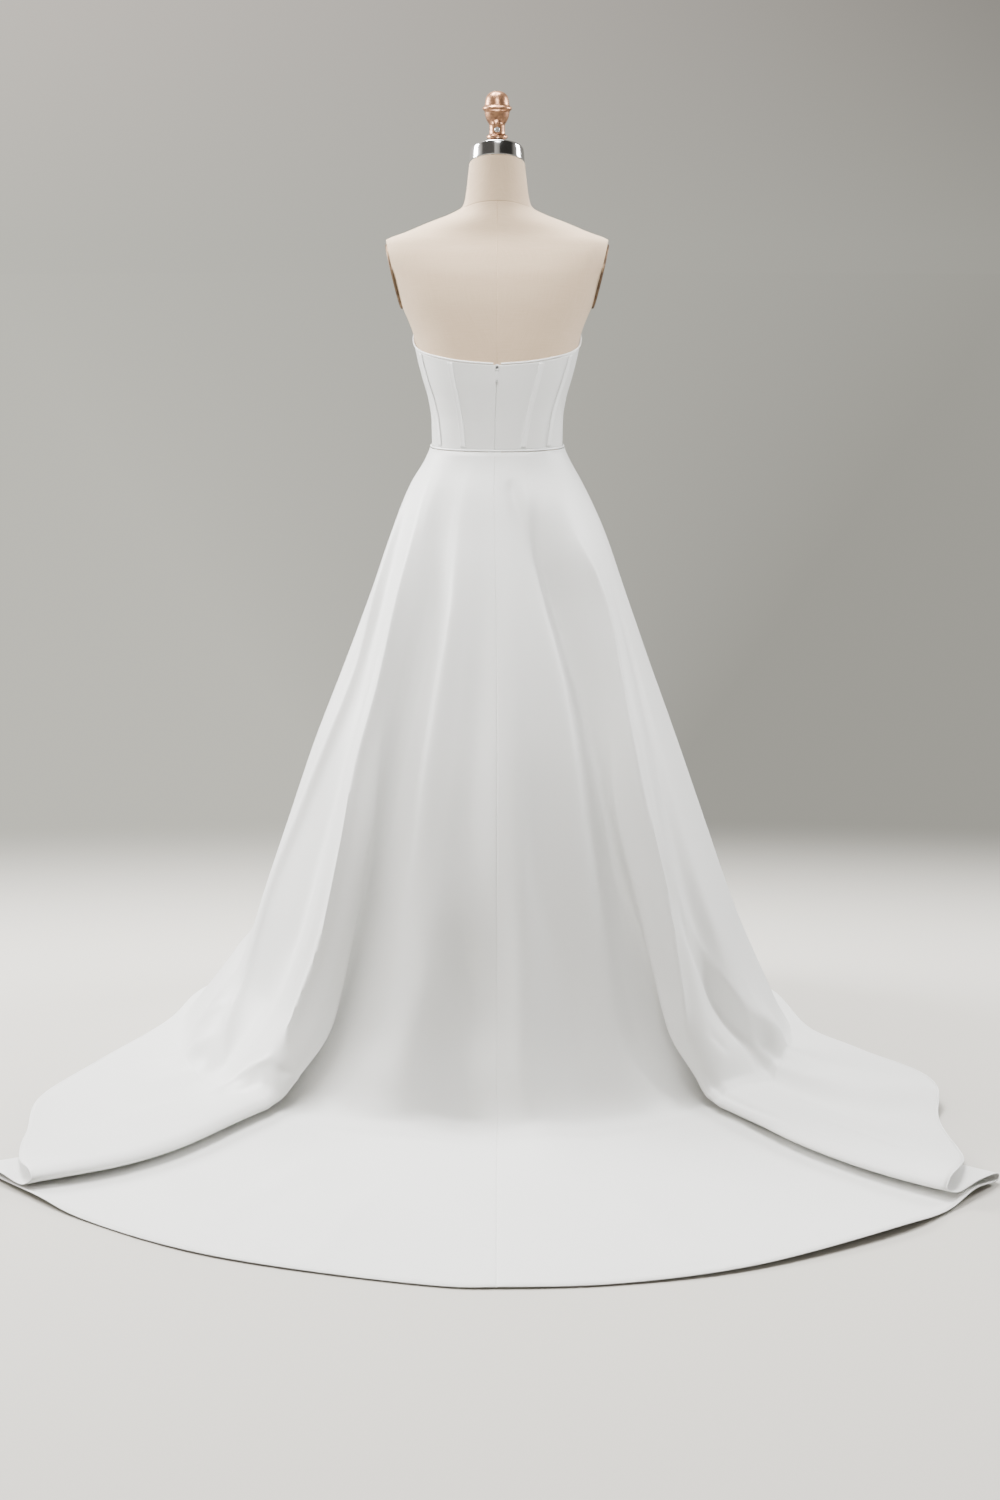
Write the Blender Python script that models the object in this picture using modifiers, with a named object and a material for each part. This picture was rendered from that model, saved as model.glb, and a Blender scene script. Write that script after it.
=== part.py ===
# Strapless satin wedding dress with a train, on its limbless dress form.
# Metres, +Z up. The wearer's front faces -Y, the wearer's left is +X, the zip is on the +Y side.
# Azimuths are in degrees from the centre back (+Y) towards the wearer's left (+X).

import math

import bmesh
import bpy
import numpy as np
from mathutils import Matrix
from mathutils import Vector

for old in list(bpy.data.objects):
    bpy.data.objects.remove(old, do_unlink=True)

# Named sizes of the cloth.
SKIRT_THICK = 0.0016
BODICE_THICK = 0.0016
CASING_THICK = 0.0012
CASING_WIDTH = 0.0085
FORM_GAP = 0.0010
SEAM_GAP = 0.0004
SKIN_GAP = 0.0004
EDGE_GAP = 0.0007
PIPING_RADIUS = 0.0016
PIPING_START = 3.6
WAIST_Z = 1.1020
FLOOR_Z = 0.0020
TRAIN_START = 1.25
TRAIN_END = 1.66

# Named sizes of the form's hard pieces.
NECK_TILT = 18.0
BAND_Z = 1.5914
ARM_PLATE = 0.0045
POLE_RADIUS = 0.0150
POLE_BOTTOM = 0.0335
BASE_RADIUS = 0.1800
BASE_HEIGHT = 0.0240

# The neck band's sections: radius, height above its foot and share of the neck's slant.
BAND_ROWS = (
    (0.0475, 0.0000, 1.0),
    (0.0482, 0.0015, 1.0),
    (0.0470, 0.0200, 1.0),
    (0.0440, 0.0268, 1.0),
    (0.0400, 0.0288, 0.9),
    (0.0240, 0.0365, 0.35),
    (0.0150, 0.0416, 0.0),
)

# The torso's sections: height, half width, depth behind the axis, depth before it, squareness.
FORM_ROWS = (
    (0.885, 0.148, 0.108, 0.088, 2.3),
    (0.900, 0.157, 0.117, 0.096, 2.3),
    (0.950, 0.163, 0.124, 0.103, 2.3),
    (1.000, 0.154, 0.117, 0.100, 2.3),
    (1.050, 0.131, 0.101, 0.092, 2.2),
    (1.102, 0.1145, 0.0905, 0.0860, 2.2),
    (1.150, 0.1155, 0.0935, 0.0900, 2.2),
    (1.185, 0.1205, 0.0985, 0.1010, 2.25),
    (1.225, 0.1315, 0.1050, 0.1165, 2.3),
    (1.250, 0.1380, 0.1075, 0.1250, 2.3),
    (1.275, 0.1435, 0.1090, 0.1300, 2.3),
    (1.300, 0.1490, 0.1098, 0.1310, 2.3),
    (1.322, 0.1570, 0.1095, 0.1275, 2.3),
    (1.345, 0.1670, 0.1085, 0.1200, 2.3),
    (1.400, 0.1900, 0.0990, 0.0900, 2.2),
    (1.440, 0.2040, 0.0820, 0.0700, 2.1),
    (1.460, 0.1990, 0.0700, 0.0580, 2.1),
    (1.476, 0.1600, 0.0630, 0.0520, 2.1),
    (1.494, 0.1160, 0.0590, 0.0500, 2.1),
    (1.508, 0.0790, 0.0560, 0.0480, 2.0),
    (1.520, 0.0600, 0.0530, 0.0470, 2.0),
    (1.545, 0.0540, 0.0510, 0.0460, 2.0),
    (1.570, 0.0510, 0.0495, 0.0455, 2.0),
    (1.591, 0.0485, 0.0485, 0.0455, 2.0),
)

# Heights of the torso's built rings, close together where the bodice lies on it.
FORM_HEIGHTS = (0.885, 0.898, 0.940, 1.000, 1.050, 1.082, 1.104, 1.126, 1.148, 1.170, 1.192, 1.214,
                1.236, 1.258, 1.280, 1.302, 1.322, 1.345, 1.400, 1.440, 1.460, 1.476, 1.494, 1.508)

# The skirt's base sections down the cloth: way down, height, half width on the left, half width
# on the right, depth behind, depth before, lean of the outward direction from level in degrees.
SKIRT_ROWS = (
    (0.00, 1.0993, 0.1167, 0.1167, 0.0927, 0.0882, 0.0),
    (0.03, 1.0700, 0.1330, 0.1330, 0.1085, 0.0980, 10.0),
    (0.07, 1.0350, 0.1550, 0.1530, 0.1300, 0.1130, 16.0),
    (0.16, 0.9500, 0.1900, 0.1930, 0.1660, 0.1400, 18.0),
    (0.28, 0.8400, 0.2290, 0.2320, 0.2130, 0.1700, 18.0),
    (0.42, 0.7100, 0.2780, 0.2780, 0.2700, 0.2050, 18.0),
    (0.56, 0.5760, 0.3300, 0.3270, 0.3290, 0.2450, 18.0),
    (0.71, 0.4400, 0.3760, 0.3750, 0.3830, 0.2850, 17.0),
    (0.87, 0.2960, 0.4260, 0.4260, 0.4320, 0.3300, 17.0),
    (0.96, 0.2050, 0.4560, 0.4600, 0.4590, 0.3550, 20.0),
    (1.02, 0.1500, 0.4800, 0.4830, 0.4740, 0.3700, 25.0),
    (1.08, 0.0960, 0.5240, 0.5080, 0.4900, 0.3900, 35.0),
    (1.15, 0.0430, 0.5680, 0.5330, 0.5090, 0.4150, 52.0),
    (1.20, 0.0150, 0.5920, 0.5470, 0.5320, 0.4330, 70.0),
    (1.25, 0.0020, 0.6060, 0.5570, 0.5680, 0.4450, 90.0),
)

# Ways down the cloth where the fold tables give their values, and the rows that are built.
LEVELS = (0.00, 0.16, 0.28, 0.42, 0.71, 1.02, 1.15, 1.25, 1.42, 1.66)
ROWS = (0.00, 0.06, 0.14, 0.25, 0.37, 0.50, 0.63, 0.76, 0.87, 0.96, 1.03, 1.09, 1.15, 1.20,
        1.25, 1.34, 1.49, 1.60, 1.66)

# The deep pleat: each of its lines across the fold, with the way along the hem line from the
# nose in centimetres at the levels, its rise off the base form in centimetres, and columns.
PLEAT_LINES = (
    ("approach", (-4.0, -4.9, -5.4, -6.0, -8.0, -10.0, -11.0, -11.0, -11.0, -12.0),
     (0.0, 0.0, 0.0, -0.2, -0.5, -0.8, -0.6, 0.0, 0.0, 0.0), 3),
    ("under", (-3.2, -3.6, -4.2, -4.6, -5.0, -4.0, -3.0, -2.5, -2.0, -2.0),
     (0.0, -0.3, -0.7, -1.1, -2.0, -2.8, -1.9, 0.0, 0.0, 0.0), 3),
    ("deep", (-2.4, -2.4, -2.6, -2.6, -2.2, 0.6, 4.0, 5.0, 6.0, 6.0),
     (0.0, -0.6, -1.3, -1.9, -3.0, -3.6, -2.3, 0.0, 0.0, 0.0), 2),
    ("turn_low", (-1.6, -1.3, -1.2, -0.9, -0.2, 3.6, 9.0, 11.5, 13.0, 13.0),
     (0.0, -0.7, -1.6, -2.3, -3.2, -3.6, -2.1, 0.0, 0.0, 0.0), 3),
    ("turn_high", (-0.8, -0.3, 0.1, 0.4, 0.9, 4.2, 9.0, 11.5, 13.0, 13.0),
     (0.0, -0.6, -1.4, -2.0, -2.5, -2.8, -1.2, 0.7, 0.8, 0.8), 2),
    ("return", (0.0, 0.6, 1.1, 1.4, 1.0, 2.8, 5.5, 6.7, 7.5, 7.5),
     (0.0, -0.3, -0.8, -1.2, -1.4, -2.1, -0.9, 0.7, 0.9, 1.0), 2),
    ("nose_low", (0.7, 1.4, 2.0, 2.2, 0.45, 0.9, 1.2, 1.4, 1.5, 1.6),
     (0.0, 0.1, -0.1, -0.2, -0.1, -1.1, -0.2, 0.9, 1.0, 1.0), 2),
    ("nose_tip", (1.4, 2.1, 2.8, 3.1, 0.0, 0.0, 0.0, 0.0, 0.0, 0.0),
     (0.0, 0.4, 0.5, 0.7, 1.2, 0.5, 1.2, 1.9, 2.0, 2.1), 2),
    ("nose_top", (2.1, 2.9, 3.7, 4.2, 1.5, 1.4, 1.3, 1.3, 1.4, 1.4),
     (0.0, 0.6, 1.0, 1.4, 2.4, 2.3, 2.7, 3.0, 3.0, 3.1), 2),
    ("crest", (3.0, 4.1, 5.2, 6.2, 6.4, 5.6, 5.0, 5.4, 6.0, 6.0),
     (0.0, 0.7, 1.3, 1.9, 3.0, 3.4, 3.5, 3.2, 2.9, 2.7), 3),
)

# The lines beyond the crest, one list for each side: left (wearer's left) and right.
LEFT_BEYOND = (
    ("back", (4.2, 6.0, 7.6, 9.5, 11.0, 12.0, 12.0, 13.0, 14.5, 14.5),
     (0.0, 0.2, 0.4, 0.6, 1.1, 1.4, 1.4, 1.6, 1.7, 1.6), 3),
    ("settle", (5.4, 8.0, 10.0, 13.0, 16.0, 18.0, 17.0, 19.0, 23.0, 24.0),
     (0.0, -0.1, -0.2, -0.3, -0.5, -0.4, 0.2, 0.6, 0.3, 0.3), 3),
)
RIGHT_BEYOND = (
    ("back", (3.8, 5.2, 6.6, 8.0, 8.6, 9.5, 12.0, 13.0, 14.0, 14.0),
     (0.0, 0.6, 1.1, 1.6, 2.2, 2.0, 1.9, 1.7, 1.6, 1.5), 2),
    ("valley", (4.6, 6.2, 8.0, 10.0, 12.4, 14.5, 17.5, 19.0, 21.5, 32.0),
     (0.0, 0.4, 0.7, 0.9, 0.8, -0.2, 0.0, 0.2, 0.4, 0.4), 3),
    ("flute", (5.4, 7.4, 9.6, 12.4, 17.0, 20.0, 23.0, 24.5, 28.0, 41.0),
     (0.0, 0.3, 0.5, 0.8, 1.3, 2.9, 3.7, 3.5, 3.3, 3.2), 3),
)

# Azimuth of each pleat's nose at the levels, and how far its lines spread towards the
# centre back and away from it.
LEFT_NOSE = (44.0, 39.0, 35.6, 34.7, 33.3, 35.2, 39.4, 40.3, 39.5, 43.5)
LEFT_IN = (1.0, 1.0, 1.0, 1.0, 1.0, 1.0, 1.0, 1.0, 1.0, 1.0)
LEFT_OUT = (1.0, 1.0, 1.0, 1.0, 1.0, 1.0, 1.0, 1.0, 1.0, 1.0)
RIGHT_NOSE = (-42.0, -29.2, -33.6, -36.1, -34.9, -36.3, -39.9, -40.3, -39.0, -41.0)
RIGHT_IN = (0.9, 0.55, 0.75, 0.9, 1.0, 1.0, 1.0, 1.0, 1.0, 1.0)
RIGHT_OUT = (1.05, 1.75, 1.35, 1.0, 0.85, 0.9, 1.0, 1.0, 1.0, 1.0)

# Open lines of the ring: name, azimuths at the levels, rise in centimetres at the levels,
# radius of the hem and how many columns run to the next line.
CENTRE = ("centre_back", (3.0, 1.5, 0.5, 0.0, 0.0, 0.0, 0.0, 0.0, 0.0, 0.0),
          (0.0, 0.0, -0.1, -0.3, -0.6, -2.2, -1.6, -0.2, 0.0, 0.0), 1.083, 2)
LEFT_CENTRE = (
    ("hollow", (8.0, 8.5, 7.5, 7.0, 7.5, 7.0, 5.0, 4.0, 4.0, 4.0),
     (0.0, -0.1, -0.4, -0.8, -1.5, -4.2, -4.2, 0.0, 0.0, 0.0), 1.082, 6),
    ("swell", (16.0, 16.5, 14.5, 14.5, 15.0, 17.0, 18.0, 18.5, 20.0, 24.0),
     (0.0, 0.0, -0.2, -0.3, -0.3, 0.0, 0.2, 0.2, 0.0, 0.0), 1.070, 4),
)
RIGHT_CENTRE = (
    ("border", (-3.0, -4.0, -5.0, -6.0, -6.0, -5.0, -7.0, -8.0, -9.0, -9.0),
     (0.0, 0.0, 0.0, 0.0, 0.1, 0.3, 0.7, 0.8, 0.2, 0.0), 1.086, 3),
    ("broad", (-9.0, -10.0, -11.0, -12.0, -10.0, -17.0, -17.0, -17.0, -18.0, -20.0),
     (0.0, 0.0, -0.1, -0.3, -1.0, -1.5, -0.9, 0.0, 0.0, 0.0), 1.090, 5),
)
LEFT_SIDE = (
    ("outer_ridge", (83.0, 76.0, 70.0, 69.0, 70.0, 69.0, 65.0, 63.5, 64.0, 64.0),
     (0.0, 0.3, 0.8, 1.2, 1.6, 2.0, 2.2, 1.5, 0.4, 0.3), 0.890, 3),
    ("side", (91.0, 86.0, 82.0, 82.0, 83.0, 83.0, 79.0, 76.0, 74.0, 73.0),
     (0.0, 0.0, 0.0, 0.0, -0.2, -0.2, 0.2, 0.3, 0.3, 0.3), 0.768, 2),
)
RIGHT_SIDE = (
    ("outer_ridge", (-84.0, -79.0, -76.0, -74.0, -73.0, -72.0, -75.0, -76.0, -76.0, -77.0),
     (0.0, 0.1, 0.2, 0.3, 0.4, 0.2, 0.3, 0.3, 0.3, 0.3), 0.690, 2),
    ("side", (-91.0, -88.0, -86.0, -84.0, -83.0, -83.0, -84.0, -84.0, -84.0, -84.0),
     (0.0, 0.0, 0.0, 0.0, 0.1, 0.0, 0.1, 0.2, 0.3, 0.3), 0.605, 2),
)
SEAM_AZIMUTH = (98.0, 96.0, 95.0, 94.0, 94.0, 93.0, 92.0, 91.5, 91.0, 91.0)
SEAM_HEMS = (0.632, 0.582)

# The front's soft flutes: azimuth and rise in centimetres at the hem, shared by both sides.
FLUTES = ((107.0, 1.4), (118.0, -1.1), (130.0, 1.5), (143.0, -1.2), (156.0, 1.3), (168.0, -0.9))
FLUTE_GROWTH = (0.0, 0.12, 0.25, 0.42, 0.72, 1.0, 0.85, 0.50, 0.20, 0.10)
FRONT_TRAIN = 0.022

# Radius of the hem on the pleats' lines, in the order of those lines.
LEFT_HEMS = (1.070, 1.070, 1.072, 1.075, 1.075, 1.075, 1.070, 1.064, 1.058, 1.045, 1.000, 0.950)
RIGHT_HEMS = (1.092, 1.088, 1.082, 1.080, 1.080, 1.080, 1.076, 1.070, 1.064, 1.050, 1.010, 0.890, 0.860)

# The hem's lifted waves: azimuth, half width in degrees and lift in centimetres.
HEM_WAVES = (
    (48.5, 2.6, 0.9), (42.0, 2.6, 0.8), (31.0, 4.0, 1.5), (17.0, 4.2, 0.9), (-4.0, 4.0, 0.3),
    (-18.0, 3.4, 0.9), (-25.0, 3.0, 1.1), (-32.5, 3.6, 2.3), (-44.5, 4.2, 1.8),
)

# Bodice seams: name, azimuth at the top edge, azimuth at the waist.
SEAMS = (
    ("centre_back", 0.0, 3.0),
    ("inner_back_left", 41.0, 36.0),
    ("outer_back_left", 70.5, 63.0),
    ("side_left", 103.0, 100.0),
    ("front_left", 146.0, 153.0),
    ("front_right", 214.0, 207.0),
    ("side_right", 258.0, 260.0),
    ("outer_back_right", 294.0, 305.0),
    ("inner_back_right", 321.0, 332.5),
    ("centre_back_end", 360.0, 363.0),
)
BODICE_PANELS = (
    "bodice_back_left", "bodice_side_back_left", "bodice_side_left", "bodice_side_front_left",
    "bodice_front", "bodice_side_front_right", "bodice_side_right", "bodice_side_back_right",
    "bodice_back_right",
)
PANEL_COLUMNS = (7, 5, 5, 8, 12, 8, 5, 5, 7)
BODICE_ROWS = 10

# Height of the bodice's top edge at the azimuths, the same on both sides.
TOP_EDGE = (
    (0.0, 1.2540), (15.0, 1.2555), (35.0, 1.2590), (50.0, 1.2640), (65.0, 1.2700), (80.0, 1.2785),
    (92.0, 1.2890), (106.0, 1.3010), (125.0, 1.3150), (148.0, 1.3240), (166.0, 1.3130), (180.0, 1.3050),
)

# Sizes of the zip's hard pieces.
SLIDER_Z = 1.2470
SLIDER_WIDTH = 0.0094
SLIDER_HEIGHT = 0.0136
SLIDER_THICK = 0.0022
PIN_Z = 1.2440
PIN_OUT = 0.0018
PIN_RADIUS = 0.0005
PIN_HALF = 0.0022
EYE_RADIUS = 0.0014
EYE_HOLE = 0.0008
EYE_HALF = 0.0013
TAB_LENGTH = 0.0215
TAB_WIDTH = 0.0044
TAB_THICK = 0.0011
TAB_HOLE = 0.0011

SHELF = bpy.data.collections.new("wedding_dress")
bpy.context.scene.collection.children.link(SHELF)


def smooth(xs, ys, x):
    """Monotone cubic through a table."""
    xs = np.asarray(xs, dtype=float)
    ys = np.asarray(ys, dtype=float)
    x = min(max(x, xs[0]), xs[-1])
    steps = np.diff(xs)
    slopes = np.diff(ys) / steps
    tangents = np.zeros(len(xs))
    for i in range(1, len(xs) - 1):
        if slopes[i - 1] * slopes[i] > 0:
            w1 = 2 * steps[i] + steps[i - 1]
            w2 = steps[i] + 2 * steps[i - 1]
            tangents[i] = (w1 + w2) / (w1 / slopes[i - 1] + w2 / slopes[i])
    tangents[0] = slopes[0]
    tangents[-1] = slopes[-1]
    i = int(min(max(np.searchsorted(xs, x) - 1, 0), len(xs) - 2))
    h = steps[i]
    t = (x - xs[i]) / h
    a = (1 + 2 * t) * (1 - t) ** 2 * ys[i]
    b = t * (1 - t) ** 2 * h * tangents[i]
    c = t * t * (3 - 2 * t) * ys[i + 1]
    d = t * t * (t - 1) * h * tangents[i + 1]
    return float(a + b + c + d)


def oval(azimuth, wide, behind, before, square):
    """Radius of a rounded section at an azimuth in degrees."""
    s = abs(math.sin(math.radians(azimuth)))
    c = math.cos(math.radians(azimuth))
    deep = behind if c > 0 else before
    return ((s / wide) ** square + (abs(c) / deep) ** square) ** (-1.0 / square)


def column(rows, i):
    return [row[i] for row in rows]


def form_radius(height, azimuth):
    """Radius of the torso at a height and azimuth."""
    zs = column(FORM_ROWS, 0)
    size = [smooth(zs, column(FORM_ROWS, i), height) for i in (1, 2, 3, 4)]
    return oval(azimuth, *size)


def polar(radius, azimuth, height):
    a = math.radians(azimuth)
    return Vector((radius * math.sin(a), radius * math.cos(a), height))


def skin(height, azimuth, out):
    """A point that lies a true distance outside the torso, moved out level."""
    here = polar(form_radius(height, azimuth), azimuth, height)
    around = polar(form_radius(height, azimuth + 0.5), azimuth + 0.5, height)
    around -= polar(form_radius(height, azimuth - 0.5), azimuth - 0.5, height)
    upward = polar(form_radius(height + 0.002, azimuth), azimuth, height + 0.002)
    upward -= polar(form_radius(height - 0.002, azimuth), azimuth, height - 0.002)
    normal = upward.cross(around).normalized()
    if normal.x * here.x + normal.y * here.y < 0.0:
        normal = -normal
    level = Vector((normal.x, normal.y, 0.0))
    level = level.normalized()
    return here + level * (out / max(level.dot(normal), 0.5))


def new_object(name, mesh):
    item = bpy.data.objects.new(name, mesh)
    SHELF.objects.link(item)
    return item


def finish_mesh(name, bm):
    bmesh.ops.recalc_face_normals(bm, faces=bm.faces)
    mesh = bpy.data.meshes.new(name)
    bm.to_mesh(mesh)
    bm.free()
    return new_object(name, mesh)


def sheet(name, grid, thick, closed=False):
    """A cloth panel: a grid of its middle surface, made solid to its thickness."""
    bm = bmesh.new()
    rows = [[bm.verts.new(p) for p in row] for row in grid]
    wide = len(rows[0])
    for upper, lower in zip(rows[:-1], rows[1:]):
        for i in range(wide if closed else wide - 1):
            j = (i + 1) % wide
            bm.faces.new((upper[i], lower[i], lower[j], upper[j]))
    item = finish_mesh(name, bm)
    shell = item.modifiers.new("thickness", "SOLIDIFY")
    shell.thickness = thick
    shell.offset = 0.0
    shell.use_even_offset = True
    shell.thickness_clamp = 0.0
    return item


def loft(name, rings, closed_ends=True):
    """A solid through closed rings of equal count."""
    bm = bmesh.new()
    loops = [[bm.verts.new(p) for p in ring] for ring in rings]
    count = len(loops[0])
    for a, b in zip(loops[:-1], loops[1:]):
        for i in range(count):
            j = (i + 1) % count
            bm.faces.new((a[i], a[j], b[j], b[i]))
    if closed_ends:
        bm.faces.new(list(reversed(loops[0])))
        bm.faces.new(loops[-1])
    else:
        for i in range(count):
            j = (i + 1) % count
            bm.faces.new((loops[-1][i], loops[-1][j], loops[0][j], loops[0][i]))
    return finish_mesh(name, bm)


def turned(name, profile, segments):
    """A turned piece: radius and height pairs from its bottom to its top."""
    rings = []
    for radius, height in profile:
        ring = []
        for i in range(segments):
            a = 2 * math.pi * i / segments
            y = radius * math.sin(a)
            ring.append(Vector((radius * math.cos(a), y, height)))
        rings.append(ring)
    return loft(name, rings)


# The skirt: lines round the ring, each with its azimuth and rise at a way down the cloth.
def base_point(way, azimuth, hem, rise):
    """A point of the skirt's middle surface."""
    ways = column(SKIRT_ROWS, 0)
    v = min(way, TRAIN_START)
    side = 2 if math.sin(math.radians(azimuth)) > 0 else 3
    values = [smooth(ways, column(SKIRT_ROWS, i), v) for i in (1, side, 4, 5, 6)]
    height, wide, behind, before, lean = values
    radius = oval(azimuth, wide, behind, before, 2.2)
    if way > TRAIN_START:
        contact = radius
        radius = contact + (way - TRAIN_START) / (TRAIN_END - TRAIN_START) * (hem - contact)
    tilt = math.radians(lean)
    radius += rise * math.cos(tilt)
    height += rise * math.sin(tilt)
    return polar(radius, azimuth, max(height, FLOOR_Z))


def hem_lift(way, azimuth):
    """Extra rise of the hem's waves."""
    turn = (azimuth + 180.0) % 360.0 - 180.0
    near = min(max((way - 1.50) / (TRAIN_END - 1.50), 0.0), 1.0)
    total = 0.0
    for centre, half, lift in HEM_WAVES:
        off = (turn - centre) / half
        total += 0.01 * lift * math.exp(-off * off)
    return total * near * near


def level_value(values, way):
    return smooth(LEVELS, values, way)


def pleat_points(way, side):
    """The points across one deep pleat at a way down the cloth, centre back outwards."""
    nose = level_value(LEFT_NOSE if side > 0 else RIGHT_NOSE, way)
    inner = level_value(LEFT_IN if side > 0 else RIGHT_IN, way)
    outer = level_value(LEFT_OUT if side > 0 else RIGHT_OUT, way)
    lines = PLEAT_LINES + (LEFT_BEYOND if side > 0 else RIGHT_BEYOND)
    hems = LEFT_HEMS if side > 0 else RIGHT_HEMS
    reach = base_point(way, nose, hems[0], 0.0)
    radius = math.hypot(reach.x, reach.y)
    points = []
    for (name, along, rise, columns), hem in zip(lines, hems):
        shift = 0.01 * level_value(along, way)
        shift *= inner if shift < 0 else outer
        azimuth = nose + side * math.degrees(shift / radius)
        up = 0.01 * level_value(rise, way) + hem_lift(way, azimuth)
        points.append((base_point(way, azimuth, hem, up), columns))
    return points


def open_points(way, table, side=1):
    points = []
    for name, azimuths, rises, hem, columns in table:
        azimuth = level_value(azimuths, way)
        up = 0.01 * level_value(rises, way) + hem_lift(way, azimuth)
        points.append((base_point(way, azimuth, hem, up), columns))
    return points


def front_points(way, side):
    """The front's flutes from the side seam towards the centre front."""
    growth = level_value(FLUTE_GROWTH, way)
    points = []
    for azimuth, rise in FLUTES:
        a = side * azimuth
        contact = base_point(TRAIN_START, a, 0.0, 0.0)
        hem = math.hypot(contact.x, contact.y) + FRONT_TRAIN
        up = 0.01 * rise * growth
        points.append((base_point(way, a, hem, up), 2))
    return points


def seam_point(way, side, columns):
    azimuth = side * level_value(SEAM_AZIMUTH, way)
    return (base_point(way, azimuth, SEAM_HEMS[0 if side > 0 else 1], 0.0), columns)


def ring_controls(way):
    """All control points round the ring at a way down, with the index of the three seams."""
    contact = base_point(TRAIN_START, 180.0, 0.0, 0.0)
    front_hem = math.hypot(contact.x, contact.y) + FRONT_TRAIN
    front = (base_point(way, 180.0, front_hem, 0.007 * level_value(FLUTE_GROWTH, way)), 2)
    left = open_points(way, LEFT_CENTRE) + pleat_points(way, 1) + open_points(way, LEFT_SIDE)
    right = open_points(way, RIGHT_CENTRE) + pleat_points(way, -1) + open_points(way, RIGHT_SIDE)
    left_front = front_points(way, 1)
    right_front = front_points(way, -1)
    points = open_points(way, (CENTRE,)) + left
    left_seam = len(points)
    points += [seam_point(way, 1, 2)] + left_front + [front]
    points += list(reversed(right_front))
    right_seam = len(points)
    # Going back to the centre on the right, each line's columns run from the line before it.
    back = list(reversed(right))
    counts = [c for p, c in back]
    points.append((seam_point(way, -1, 2)[0], counts[0]))
    for i, (p, c) in enumerate(back):
        following = counts[i + 1] if i + 1 < len(back) else 2
        points.append((p, following))
    return points, left_seam, right_seam


def blend(p0, p1, p2, p3, t):
    """Centripetal spline between p1 and p2."""
    d01 = max(math.sqrt((p1 - p0).length), 1e-5)
    d12 = max(math.sqrt((p2 - p1).length), 1e-5)
    d23 = max(math.sqrt((p3 - p2).length), 1e-5)
    m1 = (p1 - p0) / d01 - (p2 - p0) / (d01 + d12) + (p2 - p1) / d12
    m2 = (p2 - p1) / d12 - (p3 - p1) / (d12 + d23) + (p3 - p2) / d23
    m1 = m1 * d12
    m2 = m2 * d12
    t2 = t * t
    t3 = t2 * t
    return (2 * t3 - 3 * t2 + 1) * p1 + (t3 - 2 * t2 + t) * m1 + (3 * t2 - 2 * t3) * p2 + (t3 - t2) * m2


def skirt_row(way):
    """One built row of the skirt, closed round, with the columns of the three seams."""
    points, left_seam, right_seam = ring_controls(way)
    count = len(points)
    row = []
    marks = {}
    for i in range(count):
        if i in (0, left_seam, right_seam):
            marks[i] = len(row)
        p0 = points[(i - 1) % count][0]
        p1 = points[i][0]
        p2 = points[(i + 1) % count][0]
        p3 = points[(i + 2) % count][0]
        for k in range(points[i][1]):
            p = blend(p0, p1, p2, p3, k / points[i][1])
            p.z = max(p.z, FLOOR_Z)
            row.append(p)
    return row, marks[0], marks[left_seam], marks[right_seam]


def cut(row, start, end):
    """The columns of a panel, its edges drawn in by half the seam's gap."""
    count = len(row)
    span = (end - start) % count
    part = [row[(start + i) % count].copy() for i in range(span + 1)]
    half = 0.5 * SEAM_GAP
    first = part[0] + (part[1] - part[0]).normalized() * half
    last = part[-1] + (part[-2] - part[-1]).normalized() * half
    part[0] = first
    part[-1] = last
    return part


built = [skirt_row(way) for way in ROWS]
for name, first, last in (("skirt_back_left", 1, 2), ("skirt_front", 2, 3), ("skirt_back_right", 3, 1)):
    grid = [cut(entry[0], entry[first], entry[last]) for entry in built]
    sheet(name, grid, SKIRT_THICK)


# The bodice: panels between the seams, from the waist to the top edge.
def top_edge(azimuth):
    turn = abs((azimuth + 180.0) % 360.0 - 180.0)
    return smooth(column(TOP_EDGE, 0), column(TOP_EDGE, 1), turn)


def seam_azimuth(seam, share):
    return seam[2] + (seam[1] - seam[2]) * share


def bodice_point(seam_a, seam_b, across, share, out):
    azimuth_top = seam_a[1] + (seam_b[1] - seam_a[1]) * across
    low = WAIST_Z + 0.5 * SEAM_GAP
    high = top_edge(azimuth_top) - PIPING_RADIUS - EDGE_GAP
    height = low + (high - low) * share
    a = seam_azimuth(seam_a, share)
    b = seam_azimuth(seam_b, share)
    azimuth = a + (b - a) * across
    return skin(height, azimuth, out)


BODICE_MID = FORM_GAP + 0.5 * BODICE_THICK
for index, name in enumerate(BODICE_PANELS):
    wide = PANEL_COLUMNS[index]
    grid = []
    for r in range(BODICE_ROWS + 1):
        share = r / BODICE_ROWS
        line = []
        for c in range(wide + 1):
            line.append(bodice_point(SEAMS[index], SEAMS[index + 1], c / wide, share, BODICE_MID))
        half = 0.5 * SEAM_GAP
        first = line[0] + (line[1] - line[0]).normalized() * half
        last = line[-1] + (line[-2] - line[-1]).normalized() * half
        line[0] = first
        line[-1] = last
        grid.append(line)
    sheet(name, grid, BODICE_THICK)


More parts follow.
